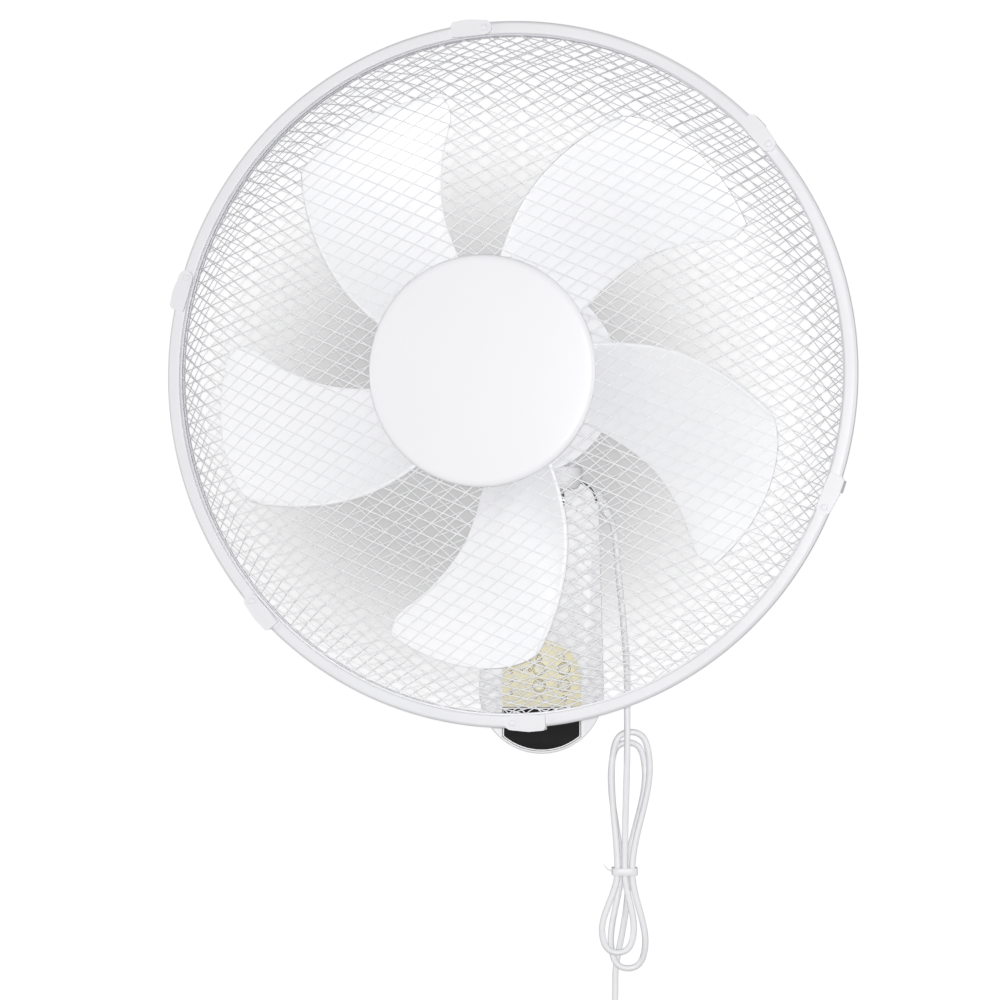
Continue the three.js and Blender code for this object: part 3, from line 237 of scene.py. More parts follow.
def turnedMetal(name, colours, roughness=0.32, stretch=(60, 2200, 60)):
    finish = Finish(name, roughness, 1.0)
    sockets = {"Vector": finish.stretched(*stretch), "Scale": 1.0, "Detail": 3.0}
    lines, stain = finish.node("ShaderNodeTexNoise", None, sockets), finish.noise(6, 3)
    varied = roughness + (lines - 0.5) * 0.3 + (stain - 0.5) * 0.1
    return finish.worn(finish.patchy(stain, 0.35, 1.4, colours), finish.relief(lines, 0.01, 0.5), varied)


def zincPlate(name, colours, spangle=7):
    finish = Finish(name, 0.3, 0.9)
    sockets = {"Vector": finish.place, "Scale": 1 / (spangle * mm)}
    cells, haze = finish.node("ShaderNodeTexVoronoi", None, sockets, "Distance"), finish.noise(3, 3)
    colour = finish.tint((cells * 0.9 + (haze - 0.5) * 0.5).clamped(), colours)
    return finish.worn(colour, finish.relief(haze, 0.01, 0.4), 0.3 + cells * 0.18 + (haze - 0.5) * 0.12)


def glossWindow(name, colours):
    finish = Finish(name, 0.08, extras={"Specular IOR Level": 0.2})
    smear = finish.noise(12, 3)
    colour, uneven = finish.patchy(smear, 0.4, 1.5, colours), finish.relief(finish.noise(20, 1), 0.04, 0.3)
    return finish.worn(colour, uneven, 0.07 + (smear - 0.4).clamped() * 0.1)


def wovenCopper(name, colours, strandWidth=4):
    finish = Finish(name, 0.35, 0.85)
    sockets = {"Vector": finish.place, "Scale": 1 / (strandWidth * mm), "Distortion": 2.0, "Detail": 2.0}
    bands = {"wave_type": "BANDS", "bands_direction": "Y"}
    strand = finish.node("ShaderNodeTexWave", bands, sockets, "Fac")
    return finish.worn(finish.tint(strand, colours), finish.relief(strand, 0.2, 0.6))


def circuitBoard(name, colours, trackPitch=9):
    finish = Finish(name, 0.4, extras={"Coat Weight": 0.4})
    sockets = {"Vector": finish.stretched(1, 1, 1), "Scale": 1 / (trackPitch * mm), "Mortar Size": 0.06}
    tracks = finish.node("ShaderNodeTexBrick", {"offset": 0.37}, sockets, "Fac")
    mask = (tracks * 0.7 + (finish.noise(5, 3) - 0.5) * 0.3).clamped()
    return finish.worn(finish.tint(mask, colours), finish.relief(tracks, 0.03, 0.6))


plastics = {  # its two colours as seen on a screen, then roughness, size of the grain and its depth
    "shell": ("shellPlastic", ((240, 240, 242), (236, 236, 239))),
    "ring": ("ringPlastic", ((234, 234, 237), (230, 230, 233)), 0.44),
    "disc": ("discPlastic", ((238, 238, 241), (236, 236, 239)), 0.36, 0.3, 0.006),
    "blade": ("bladePlastic", ((249, 249, 251), (246, 247, 249)), 0.34, 0.3, 0.006),
    "motor": ("motorPlastic", ((236, 236, 239), (230, 230, 234)), 0.5, 0.6, 0.02),
    "beige": ("beigeLabel", ((232, 226, 194), (227, 220, 187)), 0.5, 0.25, 0.008),
    "key": ("keyPlastic", ((232, 227, 205), (226, 220, 196)), 0.45, 0.3, 0.01),
    "ink": ("printedInk", ((112, 104, 84), (96, 90, 72)), 0.6, 0.2, 0.004),
    "outline": ("windowOutline", ((243, 243, 245), (236, 236, 238)), 0.45, 0.2, 0.004),
    "cord": ("cordSheath", ((243, 243, 245), (239, 239, 242)), 0.42, 0.5, 0.02),
    "black": ("blackPlastic", ((26, 26, 28), (34, 34, 36)), 0.55, 0.5, 0.02),
}
finishes = {
    **{key: mouldedPlastic(*values) for key, values in plastics.items()},
    "wire": coatedWire("powderCoatedWire", ((249, 249, 251), (243, 243, 246))),
    "window": glossWindow("darkWindow", ((13, 13, 14), (20, 20, 22))),
    "steel": turnedMetal("turnedSteel", ((186, 188, 191), (160, 162, 166))),
    "brass": turnedMetal("brassPin", ((214, 182, 104), (186, 152, 80)), 0.26, (900, 900, 40)),
    "zinc": zincPlate("zincPlate", ((206, 208, 211), (170, 173, 178))),
    "winding": wovenCopper("statorWinding", ((150, 84, 46), (206, 132, 82))),
    "board": circuitBoard("solderMask", ((36, 92, 62), (66, 130, 86))),
}
print("finishes made:", len(finishes))


def meshPiece(name, shape, place=upright):
    # an object that isn't linked yet, its doubles merged and its faces turned outwards
    points, faces = shape
    mesh = bpy.data.meshes.new(name)
    mesh.from_pydata([tuple((place @ Vector(p)) * mm) for p in points], [], faces)
    shell = bmesh.new()
    shell.from_mesh(mesh)
    bmesh.ops.remove_doubles(shell, verts=shell.verts, dist=1e-7)
    bmesh.ops.recalc_face_normals(shell, faces=shell.faces)
    shell.to_mesh(mesh)
    shell.free()
    return bpy.data.objects.new(name, mesh)


def dress(piece, finish, stands=(), crease=32, slotName=None):
    # a piece that stands for no solid is fixed to the wall
    linked(piece)
    if piece.type == "MESH":
        piece.data.polygons.foreach_set("use_smooth", [True] * len(piece.data.polygons))
        piece.data.set_sharp_from_angle(angle=math.radians(crease))
    piece.data.materials.clear()
    piece.data.materials.append(finishes[finish])
    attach(piece, bodyOf[stands[0]] if stands else "root")
    if stands:
        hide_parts(*stands)
    slotName or slotOf[stands[0]]
    return piece


def pieceFrom(name, shape, finish, stands=(), place=upright, crease=32, slotName=None):
    return dress(meshPiece(name, shape, place), finish, stands, crease, slotName)


def sweep(start, end, steps):
    # cosine and sine at even steps of a turn, both ends included
    turns = [start + (end - start) * k / steps for k in range(steps + 1)]
    return [(math.cos(turn), math.sin(turn)) for turn in turns]


def softened(profile, radius, steps=3):
    # rounds every corner of a closed profile, except the ones on the axis
    result = []
    count = len(profile)
    for i in range(count):
        before, here, after = (Vector(profile[(i + k) % count]) for k in (-1, 0, 1))
        back, on = before - here, after - here
        if here.x < 1e-6 or back.length < 1e-6 or on.length < 1e-6 or back.angle(on) > math.radians(165):
            result.append(tuple(here))
            continue
        reach = min(radius, back.length * 0.45, on.length * 0.45)
        start, end = here + back.normalized() * reach, here + on.normalized() * reach
        for k in range(steps + 1):
            t = k / steps
            result.append(tuple(start * (1 - t) ** 2 + here * 2 * t * (1 - t) + end * t * t))
    return result


def turnedShape(profile, steps):
    # a closed profile of (radius, forward) turned round the motor's axis
    points, rows = [], []
    for radius, forward in profile:
        if radius < 1e-6:
            points.append(inHead(0, forward, 0))
            rows.append([len(points) - 1] * steps)
            continue
        rows.append(list(range(len(points), len(points) + steps)))
        points += [inHead(radius * n, forward, radius * c) for c, n in sweep(0, 2 * math.pi, steps)[:-1]]
    faces = []
    for row, nextRow in zip(rows, rows[1:] + rows[:1]):
        for k in range(steps):
            j = (k + 1) % steps
            face = list(dict.fromkeys((row[k], row[j], nextRow[j], nextRow[k])))
            if len(face) > 2:
                faces.append(face)
    return points, faces


def turnedPiece(name, profile, finish, node, radius, steps, place=headPlace):
    return pieceFrom(name, turnedShape(softened(profile, radius), steps), finish, (node,), place)


def pillar(profile, steps):
    # a closed profile of (radius, height) turned round Z
    points, faces = turnedShape(profile, steps)
    return [Vector((p.x, p.z, -p.y - headSettings["rimReach"])) for p in points], faces


def loftShape(rings, closedEnds=True):
    count, last = len(rings[0]), (len(rings) - 1) * len(rings[0])
    points = [p for ring in rings for p in ring]
    faces = []
    for k in range(0, last, count):
        for i in range(count):
            j = (i + 1) % count
            faces.append((k + i, k + j, k + count + j, k + count + i))
    if closedEnds:
        faces += [tuple(reversed(range(count))), tuple(range(last, last + count))]
    return points, faces


def gathered(shapes):
    points, faces = [], []
    for shapePoints, shapeFaces in shapes:
        faces += [tuple(i + len(points) for i in face) for face in shapeFaces]
        points += shapePoints
    return points, faces


def bevelled(piece, width, segments=2, angle=32):
    edge = piece.modifiers.new("edge", "BEVEL")
    edge.width = width * mm
    edge.segments = segments
    edge.limit_method = "ANGLE"
    edge.angle_limit = math.radians(angle)


def settled(piece):
    # keeps the result of the modifiers and drops them
    mesh = bpy.data.meshes.new_from_object(piece.evaluated_get(bpy.context.evaluated_depsgraph_get()))
    piece.modifiers.clear()
    piece.data = mesh
    return piece


def joined(name, pieces):
    shell = bmesh.new()
    for piece in pieces:
        shell.from_mesh(piece.data)
        bpy.data.objects.remove(piece)
    mesh = bpy.data.meshes.new(name)
    shell.to_mesh(mesh)
    shell.free()
    return bpy.data.objects.new(name, mesh)


def fineCopy(node, finish, bevel, segments=2, crease=32):
    # a merged copy of a solid with its edges rounded, which stands for it
    source = frame["nodes"][node].data
    shell = bmesh.new()
    corners = [shell.verts.new(v.co) for v in source.vertices]
    for polygon in source.polygons:
        try:
            shell.faces.new([corners[i] for i in polygon.vertices])
        except ValueError:  # the same triangle twice
            continue
    bmesh.ops.remove_doubles(shell, verts=shell.verts, dist=2e-6)
    bmesh.ops.dissolve_limit(shell, angle_limit=math.radians(1), verts=shell.verts, edges=shell.edges)
    mesh = bpy.data.meshes.new(node + "Fine")
    shell.to_mesh(mesh)
    shell.free()
    piece = dress(bpy.data.objects.new(node + "Fine", mesh), finish, (node,), crease)
    bevelled(piece, bevel, segments)
    return piece


def geometryTree(name, inputs, kinds, links):
    # a tree with named inputs that ends in real geometry with its finish
    tree = bpy.data.node_groups.new(name, "GeometryNodeTree")
    for label, kind in {"Geometry": "Geometry", **inputs, "Finish": "Material"}.items():
        tree.interface.new_socket(label, in_out="INPUT", socket_type=f"NodeSocket{kind}")
    tree.interface.new_socket("Geometry", in_out="OUTPUT", socket_type="NodeSocketGeometry")
    kinds = {"given": "NodeGroupInput", **kinds, "real": "GeometryNodeRealizeInstances",
             "paint": "GeometryNodeSetMaterial", "result": "NodeGroupOutput"}
    nodes = {key: tree.nodes.new(kind) for key, kind in kinds.items()}
    ending = (("real", 0, "paint", 0), ("given", "Finish", "paint", "Material"), ("paint", 0, "result", 0))
    for source, output, target, entry in (*links, *ending):
        tree.links.new(nodes[source].outputs[output], nodes[target].inputs[entry])
    return tree, nodes


def grown(piece, tree, values):
    # puts a tree on a linked piece, sets its inputs and keeps the result
    modifier = piece.modifiers.new("tree", "NODES")
    modifier.node_group = tree
    for item in tree.interface.items_tree:
        if item.in_out == "INPUT" and item.name in values:
            modifier[item.identifier] = values[item.name]
    return settled(piece)


# one route from the strain relief through the bundle to the plug
cordSettings = {
    "diameter": 4.3,
    "exit": (38.5, -20, 81.5),
    "heading": (0.48, 0, -0.877),
    "grommetTip": 17,
    "gap": 0.3,
    "hank": (57.6, -20, -176.5),  # middle of the bundle's waist
    "strandPitch": 5,
    "layerPitch": 5.6,
    "loopSteps": 24,
}

cordExit = Vector(cordSettings["exit"])
cordHeading = Vector(cordSettings["heading"]).normalized()
tip, pitch, layer = cordSettings["grommetTip"], cordSettings["strandPitch"], cordSettings["layerPitch"] / 2
hankX, hankY, waist = cordSettings["hank"]
strands = [(0, -layer), (-pitch, -layer), (pitch, -layer), (-pitch / 2, layer), (pitch / 2, layer)]
hankLoops = [  # from strand, to strand, reach along Z, middle, half width, side it starts on
    (0, 1, -55.4, -4.8, 12.4, 1),
    (1, 2, 95.6, 4.1, 14.2, -1),
    (2, 3, -67, 2.4, 13.2, 1),
    (3, 4, 88, 2.4, 12.9, -1),
]
fallPoints = [  # from the strain relief down to the bundle
    (50.9, -20.1, 54), (51.9, -20.4, 45), (52.5, -20.8, 36), (54.2, -21.6, 18.5), (55.8, -22.8, 2.7),
    (57.1, -24.4, -12.3), (58.2, -26.3, -26.7), (58.9, -27.8, -41.7), (59, -28.6, -55), (59, -28.6, -62),
    (59, -28.6, -70), (59, -28.6, -75), (59, -28.6, -84), (58.9, -28.2, -100), (58.3, -26, -125),
    (57.8, -23.6, -150),
]
tailPoints = [  # from the bundle down to the plug
    (59.9, -15.6, -190), (58.6, -12.4, -205), (56, -9.2, -222), (53.2, -8.4, -236), (51.8, -8.4, -246),
    (51.6, -8.4, -250), (51.6, -8.4, -258), (51.4, -8.6, -266), (51, -9.6, -282), (50.7, -11, -300),
    (50.6, -12.3, -318), (50.6, -13, -334), (50.6, -13, -344), (50.6, -13, -350), (50.6, -13, -358),
]


def smoothStep(low, high, value):
    t = min(1, max(0, (value - low) / (high - low)))
    return t * t * (3 - 2 * t)


def inTie(strand, z=waist):
    x, y = strands[strand]
    return Vector((hankX + x, hankY + y, z))


def loopPoints(start, end, reach, middle, halfWidth, side):
    sharp = math.sqrt(abs(reach) / halfWidth)
    (startX, startY), (endX, endY) = strands[start], strands[end]
    points = []
    for c, h in sweep(0, math.pi, cordSettings["loopSteps"])[1:-1]:
        opening = smoothStep(0, 0.8, h)
        wide = middle + side * halfWidth * sharp * c / math.sqrt(1 + (sharp * sharp - 1) * c * c)
        x = hankX + (startX if c > 0 else endX) * (1 - opening) + wide * opening
        t = smoothStep(0.04, 0.4, (1 - c) / 2)
        points.append(Vector((x, hankY + (startY * (1 - t) + endY * t), waist + reach * h)))
    return points


def splinePoint(p0, p1, p2, p3, t):
    # centripetal curve through four points, the same as the solid's
    d0, d1, d2 = (max(1e-4, (b - a).length ** 0.5) for a, b in ((p0, p1), (p1, p2), (p2, p3)))
    m1 = ((p1 - p0) / d0 - (p2 - p0) / (d0 + d1) + (p2 - p1) / d1) * d1
    m2 = ((p2 - p1) / d1 - (p3 - p1) / (d1 + d2) + (p3 - p2) / d2) * d1
    c = -3 * p1 + 3 * p2 - 2 * m1 - m2
    d = 2 * p1 - 2 * p2 + m1 + m2
    return p1 + m1 * t + c * t * t + d * t * t * t


def smoothLine(points, each=5):
    ends = [points[0] * 2 - points[1], *points, points[-1] * 2 - points[-2]]
    line = [splinePoint(*ends[i - 1:i + 3], k / each) for i in range(1, len(ends) - 2) for k in range(each)]
    return [*line, points[-1]]


cordRoute = [cordExit + cordHeading * (tip + further) for further in (cordSettings["gap"], 2.5, 5)]
cordRoute += [*map(Vector, fallPoints), inTie(0, waist + 10), inTie(0)]
for loop in hankLoops:
    cordRoute += [*loopPoints(*loop), inTie(loop[1])]
cordRoute += map(Vector, tailPoints)
cordLine = smoothLine(cordRoute)
cordLength = sum((b - a).length for a, b in zip(cordLine, cordLine[1:]))


def makeCord():
    data = bpy.data.curves.new("mainsCord", "CURVE")
    data.dimensions = "3D"
    spline = data.splines.new("POLY")
    spline.points.add(len(cordLine) - 1)
    for point, place in zip(spline.points, cordLine):
        point.co = (*(place * mm), 1)
    data.bevel_depth = cordSettings["diameter"] / 2 * mm
    data.bevel_resolution = 4
    data.use_fill_caps = True
    return dress(bpy.data.objects.new("mainsCord", data), "cord", ("cord_run", "cord_hank", "cord_tail"))


grommetSettings = {
    "collar": [(0, -2), (3.9, -2), (3.9, 5.3), (5.4, 5.3), (5.4, 7), (4.1, 7.6)],
    "ribs": 6,  # relief ribs along the tapered tail
    "ribFrom": 8.1,
    "ribPitch": 1.35,
    "ribRadius": 3.9,
    "taper": 0.18,
    "groove": 0.55,
}


def makeGrommet():
    s = grommetSettings
    profile = list(s["collar"])
    for k in range(s["ribs"]):
        height, size = s["ribFrom"] + k * s["ribPitch"], s["ribRadius"] - k * s["taper"]
        low = size - s["groove"]
        profile += [(size, height), (size, height + 0.75), (low, height + 0.85), (low, height + 1.25)]
    profile += [(cordSettings["diameter"] / 2 + 0.5, tip), (0, tip)]
    turn = Vector((0, 0, 1)).rotation_difference(cordHeading).to_matrix().to_4x4()
    place = Matrix.Translation(cordExit) @ turn
    pieceFrom("strainRelief", pillar(softened(profile, 0.25, 2), 32), "cord", ("cord_grommet",), place)


def ovalRing(middle, halfX, halfY, z, power):
    ring = []
    for c, n in sweep(0, 2 * math.pi, 40)[:-1]:
        size = 1 / (abs(c) ** power + abs(n) ** power) ** (1 / power)
        ring.append(Vector((middle[0] + halfX * size * c, middle[1] + halfY * size * n, z)))
    return ring


tieSettings = {
    "slack": 2.95,  # from the outer strands' middles to the inside of the tie
    "height": 5,
    "squareness": 4,
    "section": ((1, 0.5), (1, 4.5), (0.7, 5), (0.2, 5), (0, 4.6), (0, 0.4), (0.2, 0), (0.7, 0)),
    "endLength": 6.2,
    "endRise": 4.6,
    "endSteps": 11,
    "twist": 14,
    "core": (0.45, 0.2),
}


def makeTie():
    s = tieSettings
    halfX, halfY, low = pitch + s["slack"], layer + s["slack"], waist - s["height"] / 2
    rings = [ovalRing((hankX, hankY), halfX + grow, halfY + grow, low + z, s["squareness"])
             for grow, z in s["section"]]
    shapes = [loftShape([*rings, rings[0]], closedEnds=False)]
    wide, high = s["core"]
    corners = ((-wide, -high), (wide, -high), (wide, high), (-wide, high))
    for side in (-1, 1):  # twisted ends of the tie
        rings = []
        for k in range(s["endSteps"] + 1):
            t = k / s["endSteps"]
            y = hankY + side * 0.5 * math.cos(t * s["twist"])
            z = waist + 0.2 + s["endRise"] * t * t + side * 0.5 * math.sin(t * s["twist"])
            centre = Vector((hankX - halfX - 0.6 - s["endLength"] * t, y, z))
            rings.append([centre + Vector((0, *corner)) for corner in corners])
        shapes.append(loftShape(rings))
    return pieceFrom("hankTie", gathered(shapes), "cord", ("hank_tie",))


plugSettings = {
    "top": -358.3,
    "middle": (50.6, -13),
    "squareness": 3.2,
    "sections": (  # half width, half depth, distance below the top
        (2.8, 2.6, 0), (3, 2.8, 0.4), (3.3, 3, 5), (3.6, 3.2, 9.5), (4.2, 3.5, 12.2), (7.4, 4.6, 14.6),
        (9.8, 5.3, 17), (11.2, 6, 20), (11.8, 6.4, 22.6), (11.2, 6, 24), (11.2, 6, 30), (11.8, 6.5, 31.4),
        (12, 7, 34.5), (12, 7, 36.8), (11.6, 6.7, 37.7), (11, 6.2, 38),
    ),
}


def makePlug():
    s = plugSettings
    rings = [ovalRing(s["middle"], x, y, s["top"] - z, s["squareness"]) for x, y, z in s["sections"]]
    return pieceFrom("plugBody", loftShape(rings), "cord", ("plug_body",))


cord = makeCord()
print(f"cord laid: {cordLength:.0f} mm")
makeGrommet()
tie, plug = makeTie(), makePlug()
pins = [fineCopy(f"plug_blade_{side}", "brass", 0.2) for side in ("left", "right")]
tuple(cordRoute[0] * mm)
cordSettings["diameter"] * mm
print("cord's own pieces made")

# wires laid on two domes, made into rods by Geometry Nodes
guardSettings = {
    "radius": 210.2,
    "bend": 2.5,
    "coneFrom": 188,  # from here the wires run straight down to the hoop in the ring
    "wireRadius": 0.35,
    "sides": 5,
    "angles": (-22.5, 40),
    "pitches": (8.5, 7.6),
    "lifts": (0.75, -0.75),  # in wire radii, so that the two layers lie on each other
    "step": 4.2,
    "overlap": 2.4,
    "hoopGap": 0.8,
}
frontDome = {
    "sign": 1,
    "depth": 63.8,
    "hole": 61,
    "end": 2.2,
    "hoop": (217.4, 0.8, 3.3),  # outer radius, back, front
    "collar": (58, 66),
}
rearDome = {
    "sign": -1,
    "depth": 51.6,
    "hole": 58,
    "end": 2.6,
    "hoop": (219, -3.9, -1.3),
    "collar": (16.3, 42, 62),
    "plate": (-55.7, -54.1),  # back and front of the flat plate on the motor
}


def domeHeight(dome, radius):
    s = guardSettings
    height = dome["depth"] * math.sqrt(1 - (min(radius, s["coneFrom"]) / s["radius"]) ** s["bend"])
    t = max(0, (radius - s["coneFrom"]) / (s["radius"] - s["coneFrom"]))
    return height * (1 - t) + dome["end"] * t


def domeTable(dome, steps=400):
    # length along the dome from its middle, radius and height
    table = [(0, 0, dome["depth"])]
    for k in range(1, steps + 1):
        radius = guardSettings["radius"] * math.sin(math.pi / 2 * k / steps)
        forward = domeHeight(dome, radius)
        length, r, f = table[-1]
        table.append((length + math.hypot(radius - r, forward - f), radius, forward))
    return table


def onDome(table, length):
    # radius, height and the outward direction at a length along the dome
    high = min(len(table) - 1, bisect_right(table, length, key=lambda row: row[0]))
    (l0, r0, f0), (l1, r1, f1) = table[high - 1], table[high]
    t = (length - l0) / (l1 - l0)
    span = math.hypot(r1 - r0, f1 - f0)
    return r0 + t * (r1 - r0), f0 + t * (f1 - f0), -(f1 - f0) / span, (r1 - r0) / span


def wireLines(dome):
    s, sign, hole = guardSettings, dome["sign"], dome["hole"]
    table = domeTable(dome)
    reach = table[-1][0]
    outer = reach + s["overlap"]
    points, edges = [], []
    for angle, spacing, layers in zip(s["angles"], s["pitches"], s["lifts"]):
        turn, lift = math.radians(sign * angle), layers * s["wireRadius"]
        c, n = math.cos(turn), math.sin(turn)
        count = int(outer / spacing)
        for row in range(-count, count + 1):
            offset = (row + 0.5) * spacing
            if abs(offset) >= outer:
                continue
            end = math.sqrt(outer ** 2 - offset ** 2)
            gap = math.sqrt(hole ** 2 - offset ** 2) if abs(offset) < hole else 0
            for low, high in ([(-end, -gap), (gap, end)] if gap else [(-end, end)]):
                steps = max(1, round((high - low) / s["step"]))
                for k in range(steps + 1):
                    along = low + (high - low) * k / steps
                    x, z = c * along - n * offset, n * along + c * offset
                    length = math.hypot(x, z)
                    r, f, outR, outF = onDome(table, min(length, reach))
                    r += lift * outR + max(0, length - reach)
                    forward = sign * (f + lift * outF)
                    points.append(headPlace @ inHead(x / length * r, forward, z / length * r))
                    if k:
                        edges.append((len(points) - 2, len(points) - 1))
    return points, edges


def rodTree():
    # lines become rods of the given radius
    tree, nodes = geometryTree("wireRods", {"Wire Radius": "Float", "Sides": "Int"}, {
        "lines": "GeometryNodeMeshToCurve",
        "ring": "GeometryNodeCurvePrimitiveCircle",
        "rods": "GeometryNodeCurveToMesh",
    }, (
        ("given", "Geometry", "lines", "Mesh"),
        ("given", "Wire Radius", "ring", "Radius"),
        ("given", "Sides", "ring", "Resolution"),
        ("lines", "Curve", "rods", "Curve"),
        ("ring", "Curve", "rods", "Profile Curve"),
        ("rods", "Mesh", "real", 0),
    ))
    nodes["rods"].inputs["Fill Caps"].default_value = True
    return tree


def hoopPiece(profile, steps=192):
    return meshPiece("hoop", turnedShape(softened(profile, 0.4, 2), steps), headPlace)


def makeGuard(name, node, dome, collar, tree):
    s = guardSettings
    points, edges = wireLines(dome)
    mesh = bpy.data.meshes.new("net")
    mesh.from_pydata([tuple(p * mm) for p in points], edges, [])
    net = grown(linked(bpy.data.objects.new("net", mesh)), tree, {
        "Wire Radius": s["wireRadius"] * mm, "Sides": s["sides"], "Finish": finishes["wire"]})
    inner, (outer, back, front) = s["radius"] + s["hoopGap"], dome["hoop"]
    hoop = hoopPiece([(inner, back), (outer, back), (outer, front), (inner, front)])
    guard = dress(joined(name, [net, hoop, hoopPiece(collar)]), "wire", (node,), 40)
    return len(guard.data.polygons)


def makeGuards():
    tree = rodTree()
    crown, (inner, outer) = domeHeight(frontDome, frontDome["hole"]), frontDome["collar"]
    collar = [(inner, crown - 1), (outer, crown - 2), (outer, crown + 1), (inner, crown + 1)]
    faces = makeGuard("frontGuard", "front_guard", frontDome, collar, tree)
    sole, (inner, bend, outer) = -domeHeight(rearDome, rearDome["hole"]), rearDome["collar"]
    back, front = rearDome["plate"]
    collar = [(inner, back), (bend, back), (outer, sole - 1.2), (outer, sole + 1.2),
              (bend - 1, front), (inner, front)]
    faces += makeGuard("rearGuard", "rear_guard", rearDome, collar, tree)
    print("guards made:", faces, "faces")


makeGuards()

ringSettings = {
    "outer": 220,
    "inner": 212,
    "front": 6,
    "back": -1,
    "thickness": 2.2,
    "edge": 1.6,  # width of the slope along the outer edge
}


def makeRing():
    s = ringSettings
    outer, inner, front, back, edge = (s[key] for key in ("outer", "inner", "front", "back", "edge"))
    behind, inside = front - s["thickness"], outer - s["thickness"]
    profile = [(inner, behind), (inner, front - 0.5), (inner + 0.7, front), (outer - edge, front),
               (outer, front - edge), (outer, back), (inside, back), (inside, behind)]
    turnedPiece("rimRing", profile, "ring", "rim_ring", 0.8, 256)


discSettings = {
    "radius": 70.4,
    "back": 65.2,
    "thickness": 3.4,
    "crown": 2.2,
    "spigot": 57.7,
    "spigotWall": 1.8,
    "spigotDepth": 5,
}


def makeDisc():
    s = discSettings
    radius, back, spigot = s["radius"], s["back"], s["spigot"]
    face, inside, end = back + s["thickness"], spigot - s["spigotWall"], back - s["spigotDepth"]
    profile = [(0, face + s["crown"])]
    for k in range(1, 13):
        t = k / 12 * (radius - 3.4) / radius
        profile.append((radius * t, face + s["crown"] * (1 - t * t) + 0.05))
    profile += [(radius - 1.2, face - 0.5), (radius, face - 1.9), (radius - 0.4, back), (spigot, back),
                (spigot, end), (inside, end), (inside, back + 1), (0, back + 1)]
    turnedPiece("middleDisc", profile, "disc", "centre_cap", 0.9, 160)


clipSettings = {
    "angles": (-3.2, 50, 112.4, 178.5, 229, 287),
    "thickness": 1.9,
    "circle": 216.4,
    "shank": 1.2,
    "head": 2,
}


def makeRivet(number, angle):
    s = clipSettings
    base, shank, head = ringSettings["front"] + 0.3, s["shank"], s["head"]
    top = base + s["thickness"] + 0.3
    profile = [(0, base), (shank, base), (shank, top), (head, top), (head, top + 0.2),
               (head - 0.35, top + 0.5), (head * 0.4, top + 0.6), (0, top + 0.55)]
    turn = Matrix.Rotation(math.radians(angle), 4, "Y")
    place = headPlace @ turn @ Matrix.Translation((0, 0, s["circle"]))
    turnedPiece(f"rivetHead{number}", profile, "ring", f"rivet_{number}", 0.15, 32, place)


makeRing()
makeDisc()
for number, angle in enumerate(clipSettings["angles"], 1):
    fineCopy(f"clip_{number}", "ring", 0.55, 3, 40)
    makeRivet(number, angle)
print("ring, disc and clips made")

impellerSettings = {
    "blades": 5,
    "firstAngle": -30,
    "hubRadius": 38,
    "hubFront": 40,
    "hubBack": -16,
    "bore": 4.3,
    "boreWall": 5,
    "thickness": 2.2,
    "bulge": 25,
    "camber": 4.5,
    "rows": 34,
    "columns": 26,
}
hubRoot = impellerSettings["hubRadius"] - 3
# radius, angle and depth along the two edges of a blade
trailingEdge = [(hubRoot, -45, 34), (70, -38.3, 36), (107, -31.5, 36.5), (147, -22, 35.5), (170, -16, 33.5)]
leadingEdge = [(hubRoot, 9, -10), (75, 6.8, -7), (108, 8.2, -2), (140, 13.4, 3.5), (166, 18.4, 7.5),
               (177.5, 17.6, 9.5)]


def evenLine(edge, count):
    line = smoothLine([Vector(p) for p in edge], 40)
    lengths = [0]
    for a, b in zip(line, line[1:]):
        lengths.append(lengths[-1] + (b - a).length)
    places, k = [], 1
    for i in range(count + 1):
        target = lengths[-1] * i / count
        while k < len(lengths) - 1 and lengths[k] < target:
            k += 1
        t = (target - lengths[k - 1]) / (lengths[k] - lengths[k - 1])
        places.append(line[k - 1].lerp(line[k], min(1, max(0, t))))
    return places


def bladeShape():
    s = impellerSettings
    rows, columns = s["rows"], s["columns"]
    grid = []
    for i, (trail, lead) in enumerate(zip(evenLine(trailingEdge, rows), evenLine(leadingEdge, rows))):
        v = i / rows
        for j in range(columns + 1):
            u = j / columns
            r = trail.x * (1 - u) + lead.x * u + s["bulge"] * math.sqrt(u) * (1 - u) * v ** 3
            turn = math.radians(trail.y * (1 - u) + lead.y * u)
            forward = trail.z * (1 - u) + lead.z * u - s["camber"] * 4 * u * (1 - u) * (1 - 0.4 * v)
            grid.append(inHead(r * math.sin(turn), forward, r * math.cos(turn)))
    corners = [i * (columns + 1) + j for i in range(rows) for j in range(columns)]
    return grid, [(k, k + 1, k + columns + 2, k + columns + 1) for k in corners]


def copyTree():
    # copies of a piece turned round the motor's axis
    tree, nodes = geometryTree("turnedCopies", {"Count": "Int", "Step Angle": "Float"}, {
        "line": "GeometryNodeMeshLine",
        "index": "GeometryNodeInputIndex",
        "turn": "ShaderNodeMath",
        "angles": "ShaderNodeCombineXYZ",
        "copies": "GeometryNodeInstanceOnPoints",
    }, (
        ("given", "Count", "line", "Count"),
        ("index", 0, "turn", 0),
        ("given", "Step Angle", "turn", 1),
        ("turn", 0, "angles", "Y"),
        ("line", 0, "copies", "Points"),
        ("given", "Geometry", "copies", "Instance"),
        ("angles", 0, "copies", "Rotation"),
        ("copies", 0, "real", 0),
    ))
    nodes["line"].inputs["Offset"].default_value = (0, 0, 0)
    nodes["turn"].operation = "MULTIPLY"
    return tree


